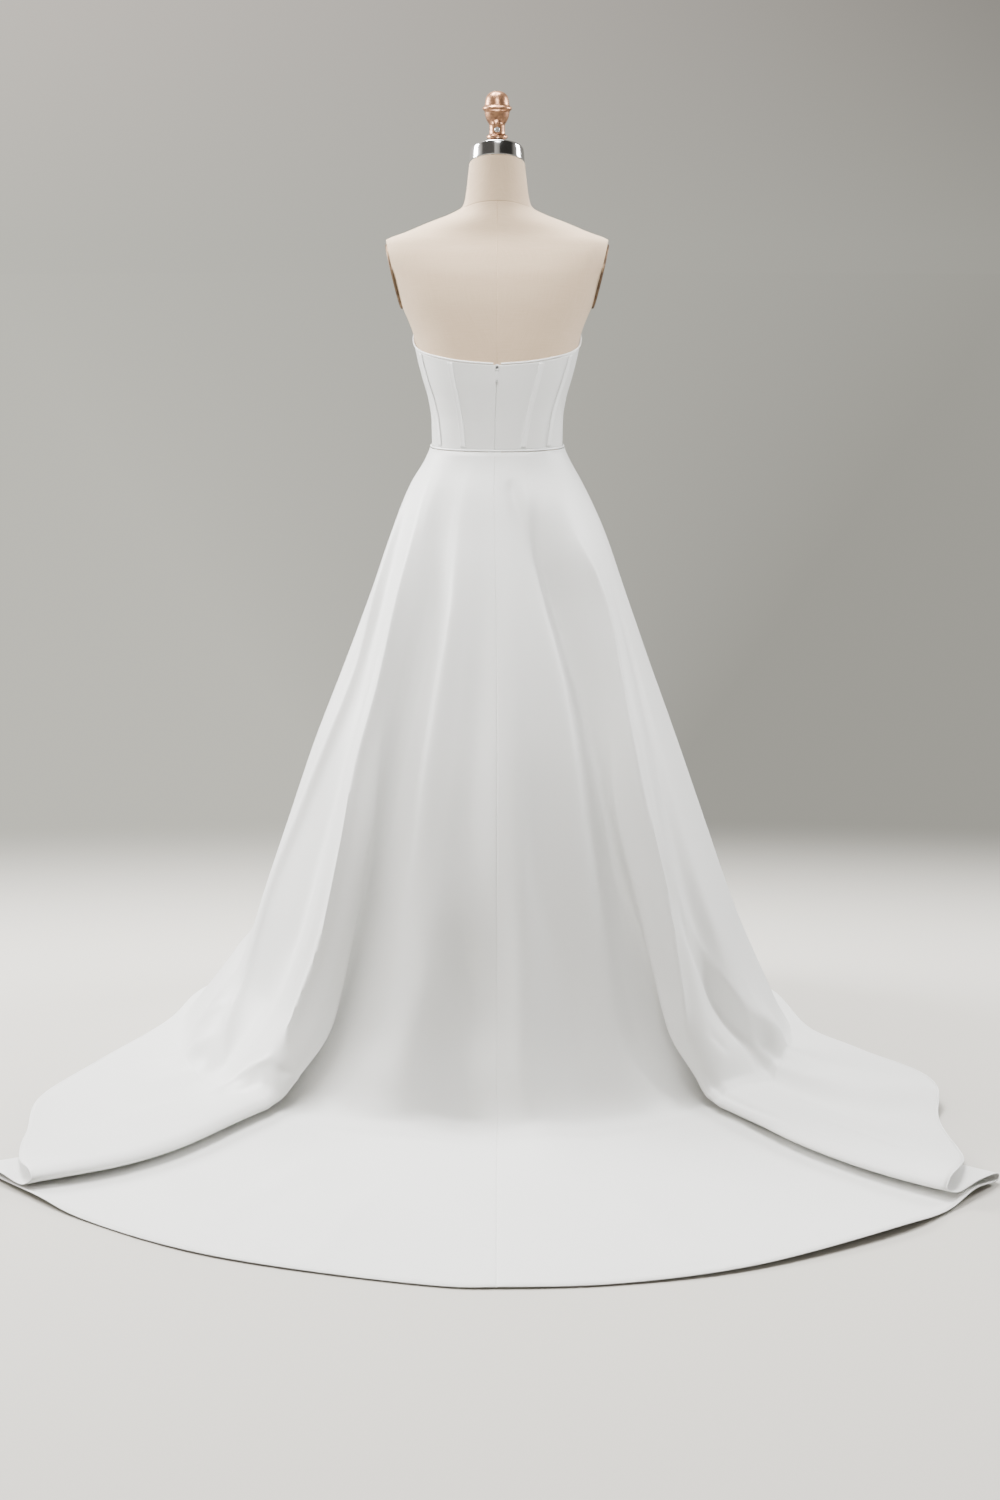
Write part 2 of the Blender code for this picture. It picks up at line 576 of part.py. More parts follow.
# Boning casings over the seams, each made from its panel's points moved out.
CASING_OUT = FORM_GAP + BODICE_THICK + 0.0006 + 0.5 * CASING_THICK
for index in range(1, 9):
    seam = SEAMS[index]
    grid = []
    for r in range(BODICE_ROWS + 1):
        share = min(max(r / BODICE_ROWS, 0.030), 0.985)
        low = WAIST_Z + 0.5 * SEAM_GAP
        high = top_edge(seam[1]) - PIPING_RADIUS - EDGE_GAP
        height = low + (high - low) * share
        azimuth = seam_azimuth(seam, share)
        radius = form_radius(height, azimuth)
        half = math.degrees(0.5 * CASING_WIDTH / radius)
        line = []
        for k in (-1.0, 1.0):
            a = azimuth + k * half
            line.append(skin(height, a, CASING_OUT))
        grid.append(line)
    sheet("casing_" + seam[0], grid, CASING_THICK)


# Piping: a fine cord along the top edge and one over the waist seam.
def cord(name, path, radius, sides, closed):
    rings = []
    count = len(path)
    for i, p in enumerate(path):
        before = path[(i - 1) % count] if closed or i else p
        after = path[(i + 1) % count] if closed or i < count - 1 else p
        along = (after - before).normalized()
        out = Vector((p.x, p.y, 0.0)).normalized()
        out = (out - along * out.dot(along)).normalized()
        up = along.cross(out)
        ring = []
        for k in range(sides):
            a = 2 * math.pi * (k + 0.5) / sides
            ring.append(p + radius * (math.cos(a) * out + math.sin(a) * up))
        rings.append(ring)
    return loft(name, rings, not closed)


top_path = []
for k in range(49):
    azimuth = PIPING_START + (360.0 - 2 * PIPING_START) * k / 48
    height = top_edge(azimuth)
    top_path.append(skin(height, azimuth, FORM_GAP + PIPING_RADIUS))
cord("piping_top", top_path, PIPING_RADIUS, 5, False)

waist_path = []
for k in range(44):
    azimuth = 360.0 * k / 44
    out = FORM_GAP + BODICE_THICK + SKIN_GAP + PIPING_RADIUS
    waist_path.append(skin(WAIST_Z, azimuth, out))
cord("piping_waist", waist_path, PIPING_RADIUS, 5, True)


# The dress form: torso and neck in one smooth body, with flat armholes.
SIDES = 34
rings = []
for height in FORM_HEIGHTS:
    ring = []
    for i in range(SIDES):
        azimuth = 360.0 * i / SIDES
        ring.append(polar(form_radius(height, azimuth), azimuth, height))
    rings.append(ring)
for index, (height, wide, behind, before, square) in enumerate(FORM_ROWS[-4:]):
    tilt = math.tan(math.radians(NECK_TILT)) * index / 3.0
    ring = []
    for i in range(SIDES):
        azimuth = 360.0 * i / SIDES
        p = polar(oval(azimuth, wide, behind, before, square), azimuth, height)
        p.z += p.y * tilt
        ring.append(p)
    rings.append(ring)
torso = loft("form_torso", rings)

ARM_LOW = Vector((0.1660, 0.0, 1.3400))
ARM_HIGH = Vector((0.1945, 0.0, 1.4590))
for side, label in ((1.0, "left"), (-1.0, "right")):
    low = Vector((side * ARM_LOW.x, 0.0, ARM_LOW.z))
    high = Vector((side * ARM_HIGH.x, 0.0, ARM_HIGH.z))
    along = (high - low).normalized()
    out = Vector((side * along.z, 0.0, -side * along.x))
    middle = (low + high) * 0.5
    frame = Matrix((out, along.cross(out), along)).transposed().to_4x4()
    frame.translation = middle
    cutter_mesh = bpy.data.meshes.new("armhole_cutter_" + label)
    bm = bmesh.new()
    bmesh.ops.create_cube(bm, size=1.0)
    bmesh.ops.scale(bm, vec=(0.10, 0.40, 0.30), verts=bm.verts)
    bmesh.ops.translate(bm, vec=(0.05, 0.0, 0.0), verts=bm.verts)
    bm.transform(frame)
    bmesh.ops.recalc_face_normals(bm, faces=bm.faces)
    bm.to_mesh(cutter_mesh)
    bm.free()
    cutter = bpy.data.objects.new("helper_armhole_" + label, cutter_mesh)
    SHELF.objects.link(cutter)
    cutter.hide_render = True
    cutter.display_type = "WIRE"
    cut_out = torso.modifiers.new("armhole_" + label, "BOOLEAN")
    cut_out.operation = "DIFFERENCE"
    cut_out.solver = "EXACT"
    cut_out.object = cutter
    # A flat oval plate closes the armhole.
    plate_rings = []
    half = (high - low).length * 0.5 - 0.004
    face = 0.0003 + ARM_PLATE
    for offset, shrink in ((0.0003, 1.0), (face - 0.0010, 1.0), (face, 0.965)):
        ring = []
        for i in range(20):
            a = 2 * math.pi * i / 20
            local = Vector((offset, 0.0385 * shrink * math.cos(a), half * shrink * math.sin(a)))
            ring.append(frame @ local)
        plate_rings.append(ring)
    loft("armhole_plate_" + label, plate_rings)

# The neck's metal band, the turned finial with its screw, the pole and the foot.
band_rings = []
for radius, height, share in BAND_ROWS:
    slope = share * math.tan(math.radians(NECK_TILT))
    ring = []
    for i in range(20):
        a = 2 * math.pi * i / 20
        y = radius * math.sin(a)
        ring.append(Vector((radius * math.cos(a), y, BAND_Z + height + slope * y)))
    band_rings.append(ring)
loft("neck_band", band_rings)
FINIAL_ROWS = (
    (0.0120, 1.6334), (0.0180, 1.6350), (0.0182, 1.6395), (0.0140, 1.6415), (0.0132, 1.6560),
    (0.0150, 1.6600), (0.0205, 1.6700), (0.0218, 1.6800), (0.0252, 1.6830), (0.0256, 1.6870),
    (0.0215, 1.6895), (0.0202, 1.6980), (0.0175, 1.7060), (0.0115, 1.7120), (0.0040, 1.7145),
)
turned("finial", FINIAL_ROWS, 16)
turned("pole", ((POLE_RADIUS, POLE_BOTTOM), (POLE_RADIUS, 0.8847)), 20)
FOOT_ROWS = (
    (BASE_RADIUS - 0.004, 0.0), (BASE_RADIUS, 0.004), (BASE_RADIUS, 0.014),
    (BASE_RADIUS - 0.02, BASE_HEIGHT), (0.040, BASE_HEIGHT + 0.004), (0.026, POLE_BOTTOM - 0.0003),
)
turned("foot", FOOT_ROWS, 28)
SCREW_ROWS = ((0.0142, 0.0022), (0.0166, 0.0022), (0.0170, 0.0046), (0.0200, 0.0046), (0.0206, 0.0038))
SCREW_Z = 1.6490
screw_rings = []
for offset, radius in SCREW_ROWS:
    ring = []
    for i in range(12):
        a = 2 * math.pi * i / 12
        ring.append(Vector((radius * math.cos(a), offset, SCREW_Z + radius * math.sin(a))))
    screw_rings.append(ring)
loft("finial_screw", screw_rings)

# The zip's slider with its two ears and pin, and the hanging pull tab.
zip_out = form_radius(SLIDER_Z, 0.0) + FORM_GAP + BODICE_THICK + SKIN_GAP
ZIP_SLOPE = (form_radius(SLIDER_Z + 0.006, 0.0) - form_radius(SLIDER_Z - 0.006, 0.0)) / 0.012
slider_rings = []
for offset, shrink in ((0.0, 0.94), (0.0005, 1.0), (SLIDER_THICK - 0.0007, 1.0), (SLIDER_THICK, 0.86)):
    ring = []
    for i in range(20):
        a = 2 * math.pi * i / 20
        x = 0.5 * SLIDER_WIDTH * shrink * math.cos(a)
        z = SLIDER_Z + 0.5 * SLIDER_HEIGHT * shrink * math.sin(a)
        ring.append(Vector((x, zip_out + offset + ZIP_SLOPE * (z - SLIDER_Z), z)))
    slider_rings.append(ring)
slider = loft("zip_slider", slider_rings)


def helper(item):
    item.hide_render = True
    item.display_type = "WIRE"
    return item


def combine(item, other, operation):
    step = item.modifiers.new(operation.lower(), "BOOLEAN")
    step.operation = operation
    step.solver = "EXACT"
    step.object = other


def rod(name, radius, half, sides, axis, centre):
    """A round bar along X or Y about its centre."""
    rings = []
    for end in (-half, half):
        ring = []
        for i in range(sides):
            a = 2 * math.pi * (i + 0.5) / sides
            u = radius * math.cos(a)
            v = radius * math.sin(a)
            local = Vector((end, u, v)) if axis == "X" else Vector((v, end, u))
            ring.append(local + centre)
        rings.append(ring)
    return loft(name, rings)


pin_y = zip_out + SLIDER_THICK + PIN_OUT
root_y = zip_out + SLIDER_THICK - 0.0006
bridge_path = [Vector((-PIN_HALF, root_y, PIN_Z)), Vector((-PIN_HALF, pin_y, PIN_Z)),
               Vector((PIN_HALF, pin_y, PIN_Z)), Vector((PIN_HALF, root_y, PIN_Z))]
bridge_ways = [Vector((1, 0, 0)), Vector((1, 1, 0)), Vector((-1, 1, 0)), Vector((-1, 0, 0))]
bridge_rings = []
for point, across in zip(bridge_path, bridge_ways):
    across = across.normalized()
    stretch = 1.0 if abs(across.y) < 0.1 else math.sqrt(2.0)
    ring = []
    for i in range(8):
        a = 2 * math.pi * (i + 0.5) / 8
        up = Vector((0.0, 0.0, PIN_RADIUS * math.sin(a)))
        ring.append(point + across * (PIN_RADIUS * stretch * math.cos(a)) + up)
    bridge_rings.append(ring)
combine(slider, helper(loft("helper_bridge", bridge_rings)), "UNION")

outline = []
for i in range(9):
    a = math.pi * i / 8
    drop = 0.5 * TAB_WIDTH - 0.5 * TAB_WIDTH * math.sin(a)
    outline.append((0.5 * TAB_WIDTH * math.cos(a), -TAB_LENGTH + drop))
outline += [(-0.44 * TAB_WIDTH, -0.0060), (-0.30 * TAB_WIDTH, -0.0035), (-EYE_HALF, -0.0006)]
outline += [(EYE_HALF, -0.0006), (0.30 * TAB_WIDTH, -0.0035), (0.44 * TAB_WIDTH, -0.0060)]
tab_rings = []
for y in (-0.5 * TAB_THICK, 0.5 * TAB_THICK):
    tab_rings.append([Vector((x, y, z)) for x, z in outline])
tab = loft("zip_pull_tab", tab_rings)
here = Vector((0.0, 0.0, 0.0))
eye = helper(rod("helper_eye", EYE_RADIUS, EYE_HALF, 16, "X", here))
eye_hole = helper(rod("helper_eye_hole", EYE_HOLE, 2 * EYE_HALF, 12, "X", here))
hole_at = Vector((0.0, 0.0, -TAB_LENGTH + 0.5 * TAB_WIDTH + 0.0004))
hang_hole = helper(rod("helper_tab_hole", TAB_HOLE, 2 * TAB_THICK, 12, "Y", hole_at))
combine(tab, eye, "UNION")
combine(tab, eye_hole, "DIFFERENCE")
combine(tab, hang_hole, "DIFFERENCE")
for item in (tab, eye, eye_hole, hang_hole):
    item.location = Vector((0.0, pin_y, PIN_Z))
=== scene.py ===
"""Looks of a strapless satin wedding dress with a train, on its limbless dress form.

Metres, +Z up. The wearer's front faces -Y, the wearer's left is +X and the zip is on the +Y
side. Azimuths are in degrees from the centre back (+Y) towards the wearer's left (+X).
"""

import logging
import math
from dataclasses import dataclass
from dataclasses import field
from enum import Enum

import bmesh
import bpy
import numpy as np
from mathutils import Euler
from mathutils import Matrix
from mathutils import Vector


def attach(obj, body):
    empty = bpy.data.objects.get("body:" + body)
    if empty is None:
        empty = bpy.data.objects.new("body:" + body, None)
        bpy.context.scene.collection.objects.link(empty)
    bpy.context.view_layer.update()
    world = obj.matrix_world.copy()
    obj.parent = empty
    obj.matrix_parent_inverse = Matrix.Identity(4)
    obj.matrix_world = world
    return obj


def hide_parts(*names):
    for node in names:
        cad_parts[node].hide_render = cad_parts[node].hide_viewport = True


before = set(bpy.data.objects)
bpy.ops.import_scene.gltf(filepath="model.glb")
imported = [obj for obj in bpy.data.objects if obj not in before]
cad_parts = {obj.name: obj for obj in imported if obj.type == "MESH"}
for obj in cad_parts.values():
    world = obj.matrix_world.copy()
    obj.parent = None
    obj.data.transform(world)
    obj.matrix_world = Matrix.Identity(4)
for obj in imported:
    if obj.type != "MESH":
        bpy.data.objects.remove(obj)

LOG = logging.getLogger("wedding_dress")
Array = np.ndarray
BODY = "dress_on_form"
TAB_BODY = "zip_tab"

# The torso's sections: height, half width, depth behind the axis, depth before it, squareness.
FORM_ROWS = (
    (0.885, 0.148, 0.108, 0.088, 2.3),
    (0.900, 0.157, 0.117, 0.096, 2.3),
    (0.950, 0.163, 0.124, 0.103, 2.3),
    (1.000, 0.154, 0.117, 0.100, 2.3),
    (1.050, 0.131, 0.101, 0.092, 2.2),
    (1.102, 0.1145, 0.0905, 0.0860, 2.2),
    (1.150, 0.1155, 0.0935, 0.0900, 2.2),
    (1.185, 0.1205, 0.0985, 0.1010, 2.25),
    (1.225, 0.1315, 0.1050, 0.1165, 2.3),
    (1.250, 0.1380, 0.1075, 0.1250, 2.3),
    (1.275, 0.1435, 0.1090, 0.1300, 2.3),
    (1.300, 0.1490, 0.1098, 0.1310, 2.3),
    (1.322, 0.1570, 0.1095, 0.1275, 2.3),
    (1.345, 0.1670, 0.1085, 0.1200, 2.3),
    (1.400, 0.1900, 0.0990, 0.0900, 2.2),
    (1.440, 0.2040, 0.0820, 0.0700, 2.1),
    (1.460, 0.1990, 0.0700, 0.0580, 2.1),
    (1.476, 0.1600, 0.0630, 0.0520, 2.1),
    (1.494, 0.1160, 0.0590, 0.0500, 2.1),
    (1.508, 0.0790, 0.0560, 0.0480, 2.0),
    (1.520, 0.0600, 0.0530, 0.0470, 2.0),
    (1.545, 0.0540, 0.0510, 0.0460, 2.0),
    (1.570, 0.0510, 0.0495, 0.0455, 2.0),
    (1.591, 0.0485, 0.0485, 0.0455, 2.0),
)

# The skirt's base sections down the cloth: way down, height, half width on the left, half width
# on the right, depth behind, depth before, lean of the outward direction from level in degrees.
SKIRT_ROWS = (
    (0.00, 1.0993, 0.1167, 0.1167, 0.0927, 0.0882, 0.0),
    (0.03, 1.0700, 0.1330, 0.1330, 0.1085, 0.0980, 10.0),
    (0.07, 1.0350, 0.1550, 0.1530, 0.1300, 0.1130, 16.0),
    (0.16, 0.9500, 0.1900, 0.1930, 0.1660, 0.1400, 18.0),
    (0.28, 0.8400, 0.2290, 0.2320, 0.2130, 0.1700, 18.0),
    (0.42, 0.7100, 0.2780, 0.2780, 0.2700, 0.2050, 18.0),
    (0.56, 0.5760, 0.3300, 0.3270, 0.3290, 0.2450, 18.0),
    (0.71, 0.4400, 0.3760, 0.3750, 0.3830, 0.2850, 17.0),
    (0.87, 0.2960, 0.4260, 0.4260, 0.4320, 0.3300, 17.0),
    (0.96, 0.2050, 0.4560, 0.4600, 0.4590, 0.3550, 20.0),
    (1.02, 0.1500, 0.4800, 0.4830, 0.4740, 0.3700, 25.0),
    (1.08, 0.0960, 0.5240, 0.5080, 0.4900, 0.3900, 35.0),
    (1.15, 0.0430, 0.5680, 0.5330, 0.5090, 0.4150, 52.0),
    (1.20, 0.0150, 0.5920, 0.5470, 0.5320, 0.4330, 70.0),
    (1.25, 0.0020, 0.6060, 0.5570, 0.5680, 0.4450, 90.0),
)

# Ways down the cloth where the fold tables give their values.
LEVELS = (0.00, 0.16, 0.28, 0.42, 0.71, 1.02, 1.15, 1.25, 1.42, 1.66)

# The deep pleat: each of its lines across the fold, with the way along the hem line from the
# nose in centimetres at the levels, its rise off the base form in centimetres, and columns.
PLEAT_LINES = (
    ("approach", (-4.0, -4.9, -5.4, -6.0, -8.0, -10.0, -11.0, -11.0, -11.0, -12.0),
     (0.0, 0.0, 0.0, -0.2, -0.5, -0.8, -0.6, 0.0, 0.0, 0.0), 3),
    ("under", (-3.2, -3.6, -4.2, -4.6, -5.0, -4.0, -3.0, -2.5, -2.0, -2.0),
     (0.0, -0.3, -0.7, -1.1, -2.0, -2.8, -1.9, 0.0, 0.0, 0.0), 3),
    ("deep", (-2.4, -2.4, -2.6, -2.6, -2.2, 0.6, 4.0, 5.0, 6.0, 6.0),
     (0.0, -0.6, -1.3, -1.9, -3.0, -3.6, -2.3, 0.0, 0.0, 0.0), 2),
    ("turn_low", (-1.6, -1.3, -1.2, -0.9, -0.2, 3.6, 9.0, 11.5, 13.0, 13.0),
     (0.0, -0.7, -1.6, -2.3, -3.2, -3.6, -2.1, 0.0, 0.0, 0.0), 3),
    ("turn_high", (-0.8, -0.3, 0.1, 0.4, 0.9, 4.2, 9.0, 11.5, 13.0, 13.0),
     (0.0, -0.6, -1.4, -2.0, -2.5, -2.8, -1.2, 0.7, 0.8, 0.8), 2),
    ("return", (0.0, 0.6, 1.1, 1.4, 1.0, 2.8, 5.5, 6.7, 7.5, 7.5),
     (0.0, -0.3, -0.8, -1.2, -1.4, -2.1, -0.9, 0.7, 0.9, 1.0), 2),
    ("nose_low", (0.7, 1.4, 2.0, 2.2, 0.45, 0.9, 1.2, 1.4, 1.5, 1.6),
     (0.0, 0.1, -0.1, -0.2, -0.1, -1.1, -0.2, 0.9, 1.0, 1.0), 2),
    ("nose_tip", (1.4, 2.1, 2.8, 3.1, 0.0, 0.0, 0.0, 0.0, 0.0, 0.0),
     (0.0, 0.4, 0.5, 0.7, 1.2, 0.5, 1.2, 1.9, 2.0, 2.1), 2),
    ("nose_top", (2.1, 2.9, 3.7, 4.2, 1.5, 1.4, 1.3, 1.3, 1.4, 1.4),
     (0.0, 0.6, 1.0, 1.4, 2.4, 2.3, 2.7, 3.0, 3.0, 3.1), 2),
    ("crest", (3.0, 4.1, 5.2, 6.2, 6.4, 5.6, 5.0, 5.4, 6.0, 6.0),
     (0.0, 0.7, 1.3, 1.9, 3.0, 3.4, 3.5, 3.2, 2.9, 2.7), 3),
)

# The lines beyond the crest, one list for each side: left (wearer's left) and right.
LEFT_BEYOND = (
    ("back", (4.2, 6.0, 7.6, 9.5, 11.0, 12.0, 12.0, 13.0, 14.5, 14.5),
     (0.0, 0.2, 0.4, 0.6, 1.1, 1.4, 1.4, 1.6, 1.7, 1.6), 3),
    ("settle", (5.4, 8.0, 10.0, 13.0, 16.0, 18.0, 17.0, 19.0, 23.0, 24.0),
     (0.0, -0.1, -0.2, -0.3, -0.5, -0.4, 0.2, 0.6, 0.3, 0.3), 3),
)
RIGHT_BEYOND = (
    ("back", (3.8, 5.2, 6.6, 8.0, 8.6, 9.5, 12.0, 13.0, 14.0, 14.0),
     (0.0, 0.6, 1.1, 1.6, 2.2, 2.0, 1.9, 1.7, 1.6, 1.5), 2),
    ("valley", (4.6, 6.2, 8.0, 10.0, 12.4, 14.5, 17.5, 19.0, 21.5, 32.0),
     (0.0, 0.4, 0.7, 0.9, 0.8, -0.2, 0.0, 0.2, 0.4, 0.4), 3),
    ("flute", (5.4, 7.4, 9.6, 12.4, 17.0, 20.0, 23.0, 24.5, 28.0, 41.0),
     (0.0, 0.3, 0.5, 0.8, 1.3, 2.9, 3.7, 3.5, 3.3, 3.2), 3),
)

# Azimuth of each pleat's nose at the levels, and how far its lines spread towards the
# centre back and away from it.
LEFT_NOSE = (44.0, 39.0, 35.6, 34.7, 33.3, 35.2, 39.4, 40.3, 39.5, 43.5)
LEFT_IN = (1.0, 1.0, 1.0, 1.0, 1.0, 1.0, 1.0, 1.0, 1.0, 1.0)
LEFT_OUT = (1.0, 1.0, 1.0, 1.0, 1.0, 1.0, 1.0, 1.0, 1.0, 1.0)
RIGHT_NOSE = (-42.0, -29.2, -33.6, -36.1, -34.9, -36.3, -39.9, -40.3, -39.0, -41.0)
RIGHT_IN = (0.9, 0.55, 0.75, 0.9, 1.0, 1.0, 1.0, 1.0, 1.0, 1.0)
RIGHT_OUT = (1.05, 1.75, 1.35, 1.0, 0.85, 0.9, 1.0, 1.0, 1.0, 1.0)

# Open lines of the ring: name, azimuths at the levels, rise in centimetres at the levels,
# radius of the hem and how many columns run to the next line.
CENTRE = ("centre_back", (3.0, 1.5, 0.5, 0.0, 0.0, 0.0, 0.0, 0.0, 0.0, 0.0),
          (0.0, 0.0, -0.1, -0.3, -0.6, -2.2, -1.6, -0.2, 0.0, 0.0), 1.083, 2)
LEFT_CENTRE = (
    ("hollow", (8.0, 8.5, 7.5, 7.0, 7.5, 7.0, 5.0, 4.0, 4.0, 4.0),
     (0.0, -0.1, -0.4, -0.8, -1.5, -4.2, -4.2, 0.0, 0.0, 0.0), 1.082, 6),
    ("swell", (16.0, 16.5, 14.5, 14.5, 15.0, 17.0, 18.0, 18.5, 20.0, 24.0),
     (0.0, 0.0, -0.2, -0.3, -0.3, 0.0, 0.2, 0.2, 0.0, 0.0), 1.070, 4),
)
RIGHT_CENTRE = (
    ("border", (-3.0, -4.0, -5.0, -6.0, -6.0, -5.0, -7.0, -8.0, -9.0, -9.0),
     (0.0, 0.0, 0.0, 0.0, 0.1, 0.3, 0.7, 0.8, 0.2, 0.0), 1.086, 3),
    ("broad", (-9.0, -10.0, -11.0, -12.0, -10.0, -17.0, -17.0, -17.0, -18.0, -20.0),
     (0.0, 0.0, -0.1, -0.3, -1.0, -1.5, -0.9, 0.0, 0.0, 0.0), 1.090, 5),
)
LEFT_SIDE = (
    ("outer_ridge", (83.0, 76.0, 70.0, 69.0, 70.0, 69.0, 65.0, 63.5, 64.0, 64.0),
     (0.0, 0.3, 0.8, 1.2, 1.6, 2.0, 2.2, 1.5, 0.4, 0.3), 0.890, 3),
    ("side", (91.0, 86.0, 82.0, 82.0, 83.0, 83.0, 79.0, 76.0, 74.0, 73.0),
     (0.0, 0.0, 0.0, 0.0, -0.2, -0.2, 0.2, 0.3, 0.3, 0.3), 0.768, 2),
)
RIGHT_SIDE = (
    ("outer_ridge", (-84.0, -79.0, -76.0, -74.0, -73.0, -72.0, -75.0, -76.0, -76.0, -77.0),
     (0.0, 0.1, 0.2, 0.3, 0.4, 0.2, 0.3, 0.3, 0.3, 0.3), 0.690, 2),
    ("side", (-91.0, -88.0, -86.0, -84.0, -83.0, -83.0, -84.0, -84.0, -84.0, -84.0),
     (0.0, 0.0, 0.0, 0.0, 0.1, 0.0, 0.1, 0.2, 0.3, 0.3), 0.605, 2),
)
SEAM_AZIMUTH = (98.0, 96.0, 95.0, 94.0, 94.0, 93.0, 92.0, 91.5, 91.0, 91.0)
SEAM_HEMS = (0.632, 0.582)

# The front's soft flutes: azimuth and rise in centimetres at the hem, shared by both sides.
FLUTES = ((107.0, 1.4), (118.0, -1.1), (130.0, 1.5), (143.0, -1.2), (156.0, 1.3), (168.0, -0.9))
FLUTE_GROWTH = (0.0, 0.12, 0.25, 0.42, 0.72, 1.0, 0.85, 0.50, 0.20, 0.10)

# Radius of the hem on the pleats' lines, in the order of those lines.
LEFT_HEMS = (1.070, 1.070, 1.072, 1.075, 1.075, 1.075, 1.070, 1.064, 1.058, 1.045, 1.000, 0.950)
RIGHT_HEMS = (1.092, 1.088, 1.082, 1.080, 1.080, 1.080, 1.076, 1.070, 1.064, 1.050, 1.010, 0.890,
              0.860)

# The hem's lifted waves: azimuth, half width in degrees and lift in centimetres.
HEM_WAVES = (
    (48.5, 2.6, 0.9), (42.0, 2.6, 0.8), (31.0, 3.6, 1.1), (17.0, 3.6, 0.7), (-4.0, 4.0, 0.2),
    (-18.0, 2.6, 0.7), (-25.0, 2.3, 0.8), (-32.5, 3.0, 1.6), (-44.5, 3.6, 1.3),
)

# Bodice seams: name, azimuth at the top edge, azimuth at the waist.
SEAMS = (
    ("centre_back", 0.0, 3.0),
    ("inner_back_left", 41.0, 36.0),
    ("outer_back_left", 70.5, 63.0),
    ("side_left", 103.0, 100.0),
    ("front_left", 146.0, 153.0),
    ("front_right", 214.0, 207.0),
    ("side_right", 258.0, 260.0),
    ("outer_back_right", 294.0, 305.0),
    ("inner_back_right", 321.0, 332.5),
    ("centre_back_end", 360.0, 363.0),
)
BODICE_PANELS = (
    "bodice_back_left", "bodice_side_back_left", "bodice_side_left", "bodice_side_front_left",
    "bodice_front", "bodice_side_front_right", "bodice_side_right", "bodice_side_back_right",
    "bodice_back_right",
)

# Height of the bodice's top edge at the azimuths, the same on both sides.
TOP_EDGE = (
    (0.0, 1.2540), (15.0, 1.2555), (35.0, 1.2590), (50.0, 1.2640), (65.0, 1.2700), (80.0, 1.2785),
    (92.0, 1.2890), (106.0, 1.3010), (125.0, 1.3150), (148.0, 1.3240), (166.0, 1.3130),
    (180.0, 1.3050),
)


class Fall(Enum):
    """How a crease falls off to its two sides."""

    SOFT = "soft"
    SHARP = "sharp"


class Curve:
    """A monotone cubic through a table."""

    def __init__(self, xs: Array, ys: Array) -> None:
        """Works out the tangents.

        Args:
            xs: rising places.
            ys: the value at each place.
        """
        self.xs = np.asarray(xs, float)
        self.ys = np.asarray(ys, float)
        steps = np.diff(self.xs)
        slopes = np.diff(self.ys) / steps
        tangents = np.zeros(len(self.xs))
        for i in range(1, len(self.xs) - 1):
            if slopes[i - 1] * slopes[i] > 0:
                w1 = 2 * steps[i] + steps[i - 1]
                w2 = steps[i] + 2 * steps[i - 1]
                tangents[i] = (w1 + w2) / (w1 / slopes[i - 1] + w2 / slopes[i])
        tangents[0] = slopes[0]
        tangents[-1] = slopes[-1]
        self.steps = steps
        self.tangents = tangents

    def __call__(self, x: Array) -> Array:
        """The value at each place, held beyond the table's ends.

        Args:
            x: places, a number or an array.

        Returns:
            The values, in the shape of x.
        """
        x = np.clip(np.asarray(x, float), self.xs[0], self.xs[-1])
        i = np.clip(np.searchsorted(self.xs, x) - 1, 0, len(self.xs) - 2)
        h = self.steps[i]
        t = (x - self.xs[i]) / h
        value = (1 + 2 * t) * (1 - t) ** 2 * self.ys[i]
        value += t * (1 - t) ** 2 * h * self.tangents[i]
        value += t * t * (3 - 2 * t) * self.ys[i + 1]
        value += t * t * (t - 1) * h * self.tangents[i + 1]
        return value


def column(rows: tuple, i: int) -> list[float]:
    """One column of a table."""
    return [row[i] for row in rows]


def oval(azimuth: Array, wide: Array, behind: Array, before: Array, square: Array) -> Array:
    """Radius of a rounded section at an azimuth.

    Args:
        azimuth: degrees from the centre back.
        wide: half width.
        behind: depth behind the axis.
        before: depth before the axis.
        square: the section's squareness, 2 for an ellipse.

    Returns:
        The radius, in metres.
    """
    s = np.abs(np.sin(np.radians(azimuth)))
    c = np.cos(np.radians(azimuth))
    deep = np.where(c > 0, behind, before)
    return ((s / wide) ** square + (np.abs(c) / deep) ** square) ** (-1.0 / square)


def polar(radius: Array, azimuth: Array, height: Array) -> Array:
    """Points at a radius, azimuth in degrees and height."""
    a = np.radians(azimuth)
    x = radius * np.sin(a)
    y = radius * np.cos(a)
    return np.stack(np.broadcast_arrays(x, y, height), axis=-1)


def unit(vectors: Array) -> Array:
    """The vectors at length 1."""
    length = np.linalg.norm(vectors, axis=-1, keepdims=True)
    return vectors / np.maximum(length, 1e-12)


